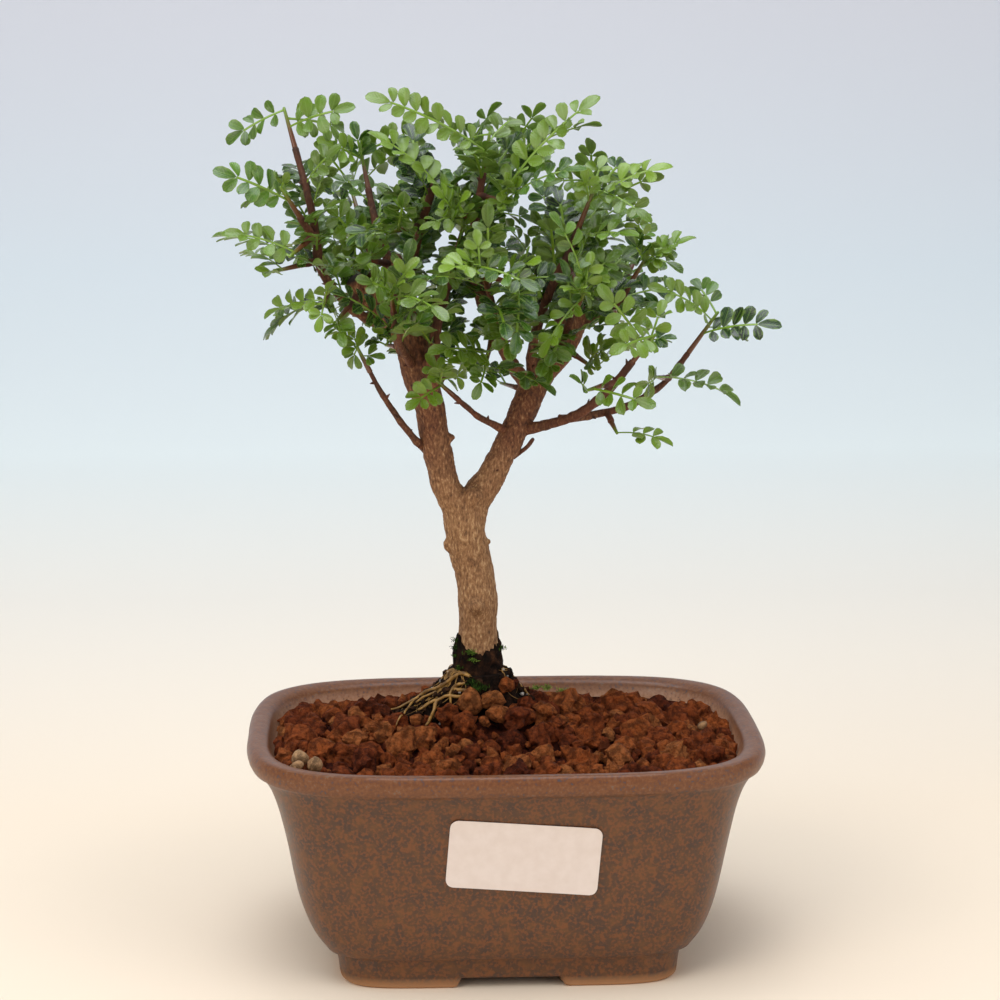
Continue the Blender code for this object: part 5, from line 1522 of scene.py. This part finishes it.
def turned(direction: Array, angle: float, azimuth: float) -> Array:
    """Return a direction tipped away from itself by an angle, towards an azimuth round it."""
    helper = np.array((0.0, 0.0, 1.0)) if abs(direction[2]) < 0.9 else np.array((1.0, 0.0, 0.0))
    first = unit(np.cross(direction, helper))
    second = np.cross(direction, first)
    lean = first * math.cos(azimuth) + second * math.sin(azimuth)
    return direction * math.cos(angle) + lean * math.sin(angle)


class Crown:
    """All leafy shoots, with each frond kept clear of the wood and of the other fronds."""

    def __init__(self) -> None:
        """Set every shoot, then place the named fronds and those of the rule."""
        self.wood = {name: smooth_route(route, ROUTE_STEP) for name, route in WOOD.items()}
        self.spurs: dict[str, tuple[Array, Array]] = {}
        self.shoots: dict[str, Shoot] = {}
        self.fronds: dict[str, list[Frond]] = {name: [] for name in SHOOTS}
        self.draw = np.random.default_rng(SEED)
        for name, (branch, end, extra, *tips) in SHOOTS.items():
            self.set_shoot(name, branch, np.array(end, float), len(tips) + extra)
        self.taken = self.woody_points()
        for number, (name, (_, _, _, *tips)) in enumerate(SHOOTS.items()):
            for i, tip in enumerate(tips):
                self.place_named(name, number, i, tip)
        for number, (name, (_, _, extra, *tips)) in enumerate(SHOOTS.items()):
            for i in range(extra):
                self.place_by_rule(name, number, len(tips) + i)

    def set_shoot(self, name: str, branch: str, end: Array, count: int) -> None:
        """Find the spur that carries a shoot and where the shoot runs."""
        points, _ = self.wood[branch]
        if np.linalg.norm(points[-1] - end) < 1.0:
            heading = unit(points[-1] - points[-2])
        else:
            nearest = int(np.argmin(np.linalg.norm(points - end, axis=1)))
            heading = unit(end - points[nearest])
            self.spurs[name] = (points[nearest], end)
        start = end + heading * CLEARANCE
        reach = SHOOT_LENGTH + SHOOT_LENGTH_PER_FROND * count
        self.shoots[name] = Shoot(start, start + heading * reach, heading, count)

    def woody_points(self) -> Array:
        """Return points on all wood and shoots: place, room to keep, shoot number and share."""
        rows = []
        for points, radii in self.wood.values():
            rows += [(*p, r + TWIG_MARGIN, -1, 0) for p, r in zip(points, radii)]
        for number, (name, shoot) in enumerate(self.shoots.items()):
            runs = [(shoot.start, shoot.end, SHOOT_RADIUS)]
            if name in self.spurs:
                runs.append((*self.spurs[name], SPUR_RADIUS))
            for low, high, radius in runs:
                for t in (0, 0.33, 0.66, 1):
                    rows.append((*(low + (high - low) * t), radius + TWIG_MARGIN, number, 0))
        return np.array(rows)

    def fits(self, number: int, frond: Frond) -> bool:
        """Tell whether a frond keeps clear of wood and blades; its own shoot's may meet near the root."""
        points, shares = frond.samples()
        off = np.linalg.norm(self.taken[:, :3] - frond.base, axis=1)
        taken = self.taken[off < frond.length + 2 * FROND_HALF_WIDTH]
        gaps = np.linalg.norm(points[:, None] - taken[None, :, :3], axis=2)
        own, wood = taken[:, 4] == number, taken[:, 5] == 0
        room = np.where(own, OWN_MARGIN, taken[:, 3])
        outer = shares[:, None] > FREE_SHARE
        away = np.linalg.norm(points - frond.base, axis=1)[:, None] > FREE_RADIUS
        matters = np.where(own, outer & (taken[:, 5] > FREE_SHARE), away | ~wood)
        return not ((gaps < room) & matters).any()

    def keep(self, name: str, number: int, frond: Frond) -> None:
        """Record a frond that fits."""
        self.fronds[name].append(frond)
        points, shares = frond.samples()
        same = np.ones(len(points))
        rows = np.column_stack((points, BLADE_MARGIN * same, number * same, shares))
        self.taken = np.vstack((self.taken, rows))

    def place_named(self, name: str, number: int, index: int, tip: tuple[float, ...]) -> None:
        """Place a frond whose tip is given, leaning it a little aside where it would clash."""
        base = self.shoots[name].base(index)
        wanted = np.array(tip[:3], float) - base
        for attempt in range(NAMED_TRIES):
            chord = turned(unit(wanted), math.radians(0.7 * attempt), attempt * GOLDEN_ANGLE)
            share = NAMED_SHARES[len(NAMED_SHARES) * attempt // NAMED_TRIES]
            chord = chord * np.linalg.norm(wanted) * share
            face = facing(unit(chord), tip[3] + 1.5 * (attempt % 20), (0.0, -1.0, 0.0))
            frond = Frond(base, base + chord, face)
            if self.fits(number, frond):
                self.keep(name, number, frond)
                return

    def place_by_rule(self, name: str, number: int, index: int) -> None:
        """Place a frond that fans out from its shoot, up and away from the crown's middle."""
        shoot = self.shoots[name]
        base = shoot.base(index)
        length = self.draw.uniform(*RULE_LENGTHS)
        first = self.draw.uniform(0, 2 * math.pi)
        out = unit((base - CROWN_CENTRE) / CROWN_REACH)
        flat_out = np.array((out[0], out[1], 0.0))
        for attempt in range(RULE_TRIES):
            lean = math.radians(34 + 10 * (attempt % 6))
            way = turned(shoot.heading, lean, first + (index + attempt) * GOLDEN_ANGLE)
            way = unit(way + 0.4 * out + (0.0, 0.0, 0.12))
            tip = base + way * length * RULE_SHARES[len(RULE_SHARES) * attempt // RULE_TRIES]
            share = np.abs((tip - CROWN_CENTRE) / CROWN_REACH)
            if share[0] ** 2 + share[2] ** 2 + share[1] ** 4 > 1.0:
                continue
            frond = Frond(base, tip, facing(way, 25 + 10 * (attempt % 4), flat_out))
            if self.fits(number, frond):
                self.keep(name, number, frond)
                return


# Wood

@dataclass
class Wood:
    """Stump, trunk, limbs, twigs, spurs and buds.

    Attributes:
        crown: the crown whose spurs and twigs it carries.
        cell: the mesh size of the trunk and limbs.
        crack: depth of the cracks in millimetres.
        swell: height of the broad swellings.
    """

    crown: Crown
    cell: float = 0.5
    crack: float = 0.22
    swell: float = 0.3
    draw: np.random.Generator = field(default_factory=lambda: np.random.default_rng(41))

    def trunk(self) -> bpy.types.Mesh:
        """Return trunk, limbs and knobs grown into one mesh and cracked along the wood.

        The tubes are fused by a voxel remesh. Then every point moves along its normal by
        random heights whose cells are drawn out upwards, so that the cracks run up the wood.
        """
        tubes = [tube(*smooth_route(WOOD[name], 1.5), 28, 0.3) for name in THICK]
        for low, high, thick, thin in KNOBS:
            steps = np.linspace(0, 1, 7)[:, None]
            path = np.array(low) + (np.array(high) - np.array(low)) * steps
            tubes.append(tube(path, thick + (thin - thick) * steps[:, 0] ** 1.5, 20, 0.6))
        body = placed("trunk_body", to_mesh("trunk_body", joined(tubes)))
        voxels = body.modifiers.new("Fuse", "REMESH")
        voxels.mode = "VOXEL"
        voxels.voxel_size = self.cell * MM
        smooth = body.modifiers.new("Smooth", "SMOOTH")
        smooth.iterations = 6
        mesh = applied(body)
        bpy.data.objects.remove(body, do_unlink=True)
        count = len(mesh.vertices)
        points, normals = np.empty(count * 3, np.float32), np.empty(count * 3, np.float32)
        mesh.vertices.foreach_get("co", points)
        mesh.vertex_normals.foreach_get("vector", normals)
        points = points.reshape(-1, 3) / MM + CENTRE
        normals = normals.reshape(-1, 3)
        cracks = rough(points, (1.1, 1.1, 2.6), seed=2, octaves=3)
        swell = rough(points, (4.5, 4.5, 6.0), seed=6, octaves=2)
        ends = self.cut_ends(points)
        full = FULLER[0] * smoothstep(*FULLER[1:], points[:, 2])
        full = full - THINNER[0] * smoothstep(*THINNER[1:], points[:, 2])
        push = self.crack * (-np.abs(cracks) * 1.6 + 0.6) + self.swell * swell + full
        points += normals * (push * (1 - 0.7 * ends))[:, None]
        mesh.vertices.foreach_set("co", ((points - CENTRE) * MM).astype(np.float32).ravel())
        marks = {"high": smoothstep(*OLD_BARK, points[:, 2]), "youth": np.zeros(count), "cut": ends}
        mark(mesh, marks)
        mesh.shade_smooth()
        mesh.update()
        return mesh

    def cut_ends(self, points: Array) -> Array:
        """Return 1 on the sawn ends of stub, leader and right limb, and 0 elsewhere."""
        found = np.zeros(len(points))
        for name in CUT:
            before, end = np.array(WOOD[name][-2]), np.array(WOOD[name][-1])
            way = unit(end[:3] - before[:3])
            past = (points - end[:3]) @ way
            near = np.linalg.norm(points - end[:3], axis=1) < 1.8 * end[3]
            found = np.maximum(found, smoothstep(-0.2, 0.7, past) * near)
        return found

    def twigs(self) -> Surface:
        """Return twigs and spurs: tubes whose radii sway with the nodes along them."""
        found = []
        for name, route in WOOD.items():
            if name not in THICK:
                found.append(self.twig(*smooth_route(route, 0.8), youth=0.25))
        for low, high in self.crown.spurs.values():
            steps = np.linspace(0, 1, 10)
            path = low + (high - low) * steps[:, None]
            found.append(
                self.twig(path, SPUR_RADIUS + (SPUR_TIP_RADIUS - SPUR_RADIUS) * steps, youth=0.6)
            )
        return joined(found)

    def twig(self, path: Array, radii: Array, youth: float) -> Surface:
        """Return one twig; it gets younger towards its end, and swells at its nodes."""
        gone = np.linspace(0, 1, len(path))
        knots = 0.16 * np.maximum(0, np.sin(gone * len(path) * 0.5 + self.draw.uniform(0, 6))) ** 6
        sway = 0.12 * rough(path, 3.0, seed=21, octaves=2)
        path = path + wander(path, 5.0) * np.sin(math.pi * gone)[:, None]
        made = tube(path, radii * (0.94 + knots + sway), 12)
        age = np.clip(youth + 0.6 * np.interp(made.uv[:, 1], (0, made.uv[:, 1].max()), (0, 1)), 0, 1)
        zero = np.zeros(len(age))
        made.marks = {"high": zero + 1, "youth": age, "cut": zero}
        return made

    def buds(self) -> Surface:
        """Return buds and short thorns, small pointed lumps that stand off the twigs."""
        found = []
        for name, (points, radii) in self.crown.wood.items():
            for i in range(2, len(points) - 1, THICK_BUD_STEP if name in THICK else BUD_STEP):
                way = unit(points[i + 1] - points[i])
                out = turned(way, BUD_ANGLE, self.draw.uniform(0, 2 * math.pi))
                steps = np.linspace(0, 1, 5)[:, None]
                long = self.draw.uniform(0.7, 1.5)
                path = points[i] + out * (radii[i] * 0.85 + long * steps)
                found.append(tube(path, 0.5 * (1 - 0.75 * steps[:, 0]), 6))
        made = joined(found)
        zero = np.zeros(len(made.points))
        made.marks = {"high": zero + 1, "youth": zero + 0.8, "cut": zero}
        return made

    def build(self) -> None:
        """Add the wood."""
        bark = Bark().make()
        for name, shape in (("trunk", self.trunk()), ("twigs", self.twigs()), ("buds", self.buds())):
            add_piece(name, shape, bark, ["tree"])


# Leaves

@dataclass
class Leaflets:
    """Leaflets gathered from fronds.

    Attributes:
        rows: one row for each leaflet: where it leaves its rachis, its heading and its upper
            side, three numbers each, then its length, its full width, and its tone and youth
            between 0 and 1.
    """

    rows: list[tuple[float, ...]] = field(default_factory=list)

    def add(
        self, base: Array, axis: Array, up: Array, size: tuple[float, float], look: tuple[float, float]
    ) -> None:
        """Add a leaflet by its place, frame, length and width, tone and youth."""
        self.rows.append((*base, *axis, *up, *size, *look))

    def surface(self, draw: np.random.Generator) -> Surface:
        """Return all leaflets as closed thin lenses.

        With u along a leaflet and v across it, its half width is 1.61 u^0.65 sqrt(1 - u^2.6)
        of half its width, so it is rounded and widest past its middle. Its middle line droops
        with u^2, its halves fold up with |v|, and its thickness fades with 1 - v^2.
        """
        known = np.array(self.rows)
        base, axis, up = (known[:, None, None, k : k + 3] for k in (0, 3, 6))
        length, width = known[:, 9, None, None], known[:, 10, None, None]
        u = LEAF_ROWS[:, None]
        v = LEAF_COLUMNS[None, :]
        half = 1.61 * u**0.65 * np.sqrt(np.clip(1 - u**2.6, 0, 1)) * (1 + 0.03 * CRENATE[:, None])
        count = len(known)
        fold = draw.uniform(0.1, 0.5, (count, 1, 1))
        droop = draw.uniform(0.04, 0.3, (count, 1, 1))
        wave = draw.uniform(-0.05, 0.05, (count, 1, 1))
        along = length * u[None] * np.ones_like(v)[None]
        across = width / 2 * (half * v)[None]
        rise = fold * np.abs(across) - droop * length * u[None] ** 2
        rise = rise + wave * length * np.sin(5 * u[None]) * v[None]
        thick = LEAF_THICKNESS / 2 * (1 - v**2)[None] * np.ones_like(u)[None]
        side = np.cross(axis, up)
        sheets = []
        for sign in (1, -1):
            height = rise + sign * thick
            points = base + along[..., None] * axis + across[..., None] * side + height[..., None] * up
            sheets.append(points.reshape(count, -1, 3))
        points = np.stack(sheets, axis=1).reshape(-1, 3)
        rows, columns = len(LEAF_ROWS), len(LEAF_COLUMNS)
        size = rows * columns
        grid = grid_faces(rows, columns)
        both = np.concatenate((grid, grid[:, ::-1] + size))
        flat = np.stack(np.broadcast_arrays(0.5 + v / 2, u), axis=-1).reshape(-1, 2)
        marks = {
            "tone": np.repeat(known[:, 11], 2 * size),
            "young": np.repeat(known[:, 12], 2 * size),
            "under": np.tile(np.repeat((0.0, 1.0), size), count),
            "woody": np.zeros(2 * size * count),
        }
        return Surface(
            points, [repeated_faces(both, 2 * size, count)], np.tile(flat, (2 * count, 1)), marks
        )


@dataclass
class Foliage:
    """All leafy sprays, one piece for each green shoot, and the fronds along the twigs.

    Attributes:
        crown: the crown whose fronds they carry.
        spacing: distance between leaflet pairs.
        leaflet: length and width of a full leaflet.
        last: length and width of the leaflet that ends a frond.
        tries: how many directions are tried for each side frond.
    """

    crown: Crown
    spacing: float = 3.5
    leaflet: tuple[float, float] = (5.6, 3.6)
    last: tuple[float, float] = (6.8, 3.5)
    tries: int = 14
    draw: np.random.Generator = field(default_factory=lambda: np.random.default_rng(57))

    def frond(self, frond: Frond, leaflets: Leaflets, young: float) -> Surface:
        """Gather a frond's leaflets and return its winged rachis.

        Args:
            frond: where the frond runs.
            leaflets: the rows that its leaflets are added to.
            young: how young it is.

        Returns:
            The rachis, a flat tube that tapers to the last leaflet.
        """
        scale = min(1.0, 0.56 + frond.length / 60)
        terminal = self.last[0] * scale
        end = 1 - terminal / frond.length
        bare = 0.15 if frond.length > 16 else 0.28
        pairs = int(np.clip(round((end - bare) * frond.length / (self.spacing * scale)), 1, 7)) + 1
        places = np.linspace(bare, end - 0.02, pairs)
        shade = self.draw.uniform(0.15, 0.85)
        points, headings, ups = frond.at(places)
        for k, (point, heading, up) in enumerate(zip(points, headings, ups)):
            grown = scale * (0.74 + 0.26 * math.sin(math.pi * (k + 1.4) / (pairs + 1.2)))
            for away in (1, -1):
                angle = LEAFLET_ANGLE + self.draw.normal(0, 0.14)
                lift = LEAFLET_LIFT + self.draw.normal(0, 0.22)
                out = frond.side * away * math.cos(lift) + up * math.sin(lift)
                axis = heading * math.cos(angle) + out * math.sin(angle)
                over = unit(np.cross(axis, heading) * away)
                over = over if over @ up > 0 else -over
                over = unit(over + self.draw.normal(0, 0.42) * np.cross(axis, over))
                size = grown * self.draw.uniform(0.86, 1.1)
                look = (float(np.clip(shade + self.draw.normal(0, 0.18), 0, 1)), young)
                base = point + frond.side * away * 0.3
                leaflets.add(base, axis, over, (self.leaflet[0] * size, self.leaflet[1] * size), look)
        last, heading, up = (row[0] for row in frond.at([end]))
        leaflets.add(last, heading, up, (terminal, self.last[1] * scale), (shade, young))
        steps = np.linspace(0, end, 12)
        path, _, upper = frond.at(steps)
        across = np.broadcast_to(frond.side, path.shape)
        wide = np.interp(steps, (0, 0.06, 0.5, 1), (0.5, 0.36, 0.4, 0.28)) * scale
        made = carried(path, across, upper, wide, wide * 0.5, 6)
        return self.dressed(made, 0.8, max(young, 0.75), 0.0)

    def youth(self, frond: Frond) -> float:
        """Return how young a frond is: 0.85 r^(2.4 - 1.3 o), with r drawn and o how far out it is; the
        pale outside is partly painted light.
        """
        share = (frond.base + frond.chord - CROWN_CENTRE) / CROWN_REACH
        # Painted light, partly: far-out fronds get the paler young green more often, so inner fronds stay
        # darker as painted shade, besides real new growth
        outer = smoothstep(0.45, 1.1, np.linalg.norm(share))
        return float(0.85 * self.draw.random() ** (2.4 - 1.3 * outer))

    def dressed(self, made: Surface, tone: float, young: float, woody: Array | float) -> Surface:
        """Give a stalk the leaf's marks and a place on the leaf between the veins."""
        one = np.ones(len(made.points))
        made.marks = {"tone": tone * one, "young": young * one, "under": 0 * one, "woody": woody * one}
        made.uv = np.column_stack((0.3 * one, 0 * one))
        return made

    def fresh(self, shoot: Shoot) -> list[Frond]:
        """Return small young fronds near the end of a shoot, where they stay inside the crown."""
        found = []
        for i in range(FRESH_COUNT):
            base = shoot.start + (shoot.end - shoot.start) * (0.5 + 0.24 * i)
            way = turned(shoot.heading, math.radians(35 + 14 * i), self.draw.uniform(0, 2 * math.pi))
            way = unit(way + (0, 0, 0.2))
            up = facing(way, self.draw.uniform(10, 60), (0.0, -1.0, 0.0))
            tip = base + way * self.draw.uniform(*FRESH_LENGTHS)
            share = (tip - CROWN_CENTRE) / CROWN_REACH
            if (share**2).sum() < FRESH_REACH:
                found.append(Frond(base, tip, up))
        return found

    def spray(self, name: str) -> Surface:
        """Return one green shoot with its fronds."""
        shoot = self.crown.shoots[name]
        leaflets = Leaflets()
        steps = np.linspace(0, 1, 9)
        path = shoot.start + (shoot.end - shoot.start) * steps[:, None]
        stem = tube(path, SHOOT_RADIUS * (0.68 - 0.32 * steps), 10)
        gone = np.linalg.norm(stem.points - shoot.start, axis=1) / np.linalg.norm(shoot.end - shoot.start)
        stem = self.dressed(stem, 0.5, 0.6, smoothstep(1.0, 0.3, gone))
        found = [stem]
        for frond in self.crown.fronds[name]:
            found.append(self.frond(frond, leaflets, self.youth(frond)))
        for frond in self.fresh(shoot):
            found.append(self.frond(frond, leaflets, 0.7))
        found.append(leaflets.surface(self.draw))
        return joined(found)

    def side_fronds(self) -> list[Frond]:
        """Return small fronds that stand along the twigs and fill the inside of the crown.

        Each is tried in a few directions, and kept where its blade stays inside the crown
        and clear of the wood and of all other blades.
        """
        found = []
        taken = self.crown.taken[:, :3]
        for name, (points, _) in self.crown.wood.items():
            if name in BARE:
                continue
            reach, lengths = TIP_RANGE if name in LEAFY_TO_THE_TIP else SIDE_RANGE
            for i in np.tile(np.arange(len(points) // 4, len(points) - 1, 2), 2):
                heading = unit(points[i + 1] - points[i])
                out = unit((points[i] - CROWN_CENTRE) / CROWN_REACH) * (1, 1, 0)
                for _ in range(self.tries):
                    lean = self.draw.uniform(0.7, 1.4)
                    way = turned(heading, lean, self.draw.uniform(0, 2 * math.pi))
                    way = unit(way + 0.3 * out + (0, 0, 0.15))
                    tip = points[i] + way * self.draw.uniform(*lengths)
                    share = (tip - CROWN_CENTRE) / CROWN_REACH
                    frond = Frond(points[i], tip, facing(way, self.draw.uniform(0, 45), (0, -1, 0)))
                    blade, shares = frond.samples()
                    blade = blade[shares > FREE_SHARE]
                    gaps = np.linalg.norm(blade[:, None] - taken[None], axis=2)
                    hides = ((blade > LIMB_VIEW[0]) & (blade < LIMB_VIEW[1])).all(axis=1).any()
                    if (share**2).sum() < reach and gaps.min() > SIDE_GAP and not hides:
                        found.append(frond)
                        taken = np.vstack((taken, blade))
                        break
        LOG.info("side fronds: %d", len(found))
        return found

    def side_growth(self, fronds: Sequence[Frond]) -> Surface:
        """Return side fronds as one surface."""
        leaflets = Leaflets()
        found = [self.frond(frond, leaflets, 0.5 * self.youth(frond)) for frond in fronds]
        found.append(leaflets.surface(self.draw))
        return joined(found)

    def build(self) -> None:
        """Add the fronds along the twigs in two pieces, and a piece for each spray."""
        leaf = LiveLeaf().make()
        fronds = self.side_fronds()
        halves = {
            "leaves_along_left_twigs": [f for f in fronds if f.base[0] < CROWN_CENTRE[0]],
            "leaves_along_right_twigs": [f for f in fronds if f.base[0] >= CROWN_CENTRE[0]],
        }
        for name, half in halves.items():
            add_piece(name, self.side_growth(half), leaf, [])
        for name in self.crown.shoots:
            add_piece("leaves_" + name, self.spray(name), leaf, ["spray_" + name])


# Studio

@dataclass(frozen=True)
class Studio:
    """A pale floor that curves up into a backdrop, with large soft lights.

    Attributes:
        low: colour of the floor.
        high: colour of the upper backdrop.
    """

    low: str = "#f3e2cb"
    high: str = "#e3e3e8"

    def sheet(self) -> None:
        """Add the floor and backdrop: a level sheet that turns up on a quarter circle."""
        turn = np.linspace(0, math.pi / 2, 24)
        back, radius = BACKDROP_BACK, BACKDROP_BEND
        y = np.concatenate(([BACKDROP_FRONT], back + radius * np.sin(turn), [back + radius]))
        z = np.concatenate(([0.0], radius - radius * np.cos(turn), [BACKDROP_TOP]))
        x = np.linspace(-BACKDROP_HALF_WIDTH, BACKDROP_HALF_WIDTH, 5)
        grid = np.stack(np.broadcast_arrays(x[None, :], y[:, None], z[:, None]), axis=-1)
        gone = np.concatenate(([0], np.cumsum(np.hypot(np.diff(y), np.diff(z)))))
        share = x[None, :] / (2 * BACKDROP_HALF_WIDTH)
        uv = np.stack(np.broadcast_arrays(share, gone[:, None] / gone[-1]), axis=-1)
        shape = Surface(grid.reshape(-1, 3), [grid_faces(len(y), len(x))], uv.reshape(-1, 2))
        floor = placed("backdrop", to_mesh("backdrop", shape))
        made, tree, shader, where = Finish("backdrop_paper", 0.9).start()
        depth = node(tree, "SeparateXYZ", {"Vector": where}, out="Y")
        share = node(tree, "MapRange", {"Value": depth, "From Max": 1.2})
        stops = (
            (0.1, self.low), (0.35, "#efe9dd"), (0.62, "#f4fbf8"), (0.8, "#e6eef1"), (0.93, self.high)
        )
        fill(tree, shader, {"Base Color": node(tree, "ValToRGB", {"Fac": share}, stops)})
        floor.data.materials.append(made)

    def light(
        self, name: str, place: tuple[float, float, float], size: float, power: float, colour: str
    ) -> None:
        """Add a large soft light that looks at the crown's foot."""
        lamp = bpy.data.lights.new(name, "AREA")
        lamp.size, lamp.energy, lamp.color = size, power, linear(colour)[:3]
        held = placed(name, lamp)
        held.location = place
        held.rotation_euler = (Vector(LAMP_TARGET) - Vector(place)).to_track_quat("-Z", "Y").to_euler()

    def build(self) -> None:
        """Add backdrop, lights, world and view."""
        self.sheet()
        for lamp in LAMPS:
            self.light(*lamp)
        world = bpy.data.worlds.new("studio")
        world.use_nodes = True
        tree = world.node_tree
        fill(tree, tree.nodes["Background"], {"Color": SKY_COLOUR, "Strength": SKY_STRENGTH})
        bpy.context.scene.world = world
        bpy.context.scene.view_settings.view_transform = "Standard"


def add_camera() -> None:
    """Add the camera at the photograph's place and angle."""
    lens = bpy.data.cameras.new("camera")
    lens.lens, lens.sensor_width = LENS, SENSOR
    camera = placed("camera", lens)
    camera.location = (CAMERA_PLACE - CENTRE) * MM
    camera.rotation_euler = (math.radians(90 - CAMERA_DOWN), 0.0, math.radians(CAMERA_TURN))
    bpy.context.scene.camera = camera


def main() -> None:
    """Build every piece."""
    logging.basicConfig(level=logging.INFO, format="%(name)s: %(message)s")
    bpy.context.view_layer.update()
    crown = Crown()
    LOG.info("fronds: %d", sum(len(fronds) for fronds in crown.fronds.values()))
    Pot().build()
    Soil().build()
    RootBall().build()
    Label().build()
    Wood(crown).build()
    Foliage(crown).build()
    plastic = Plain("moulded_plastic_mesh", 0.5, low="#101010", high="#1b1b1b").make()
    for name in ("drain_mesh_left", "drain_mesh_right"):
        kept = bpy.data.objects[name]
        kept.data.materials.clear()
        kept.data.materials.append(plastic)
    Studio().build()
    add_camera()


if __name__ == "__main__":
    main()
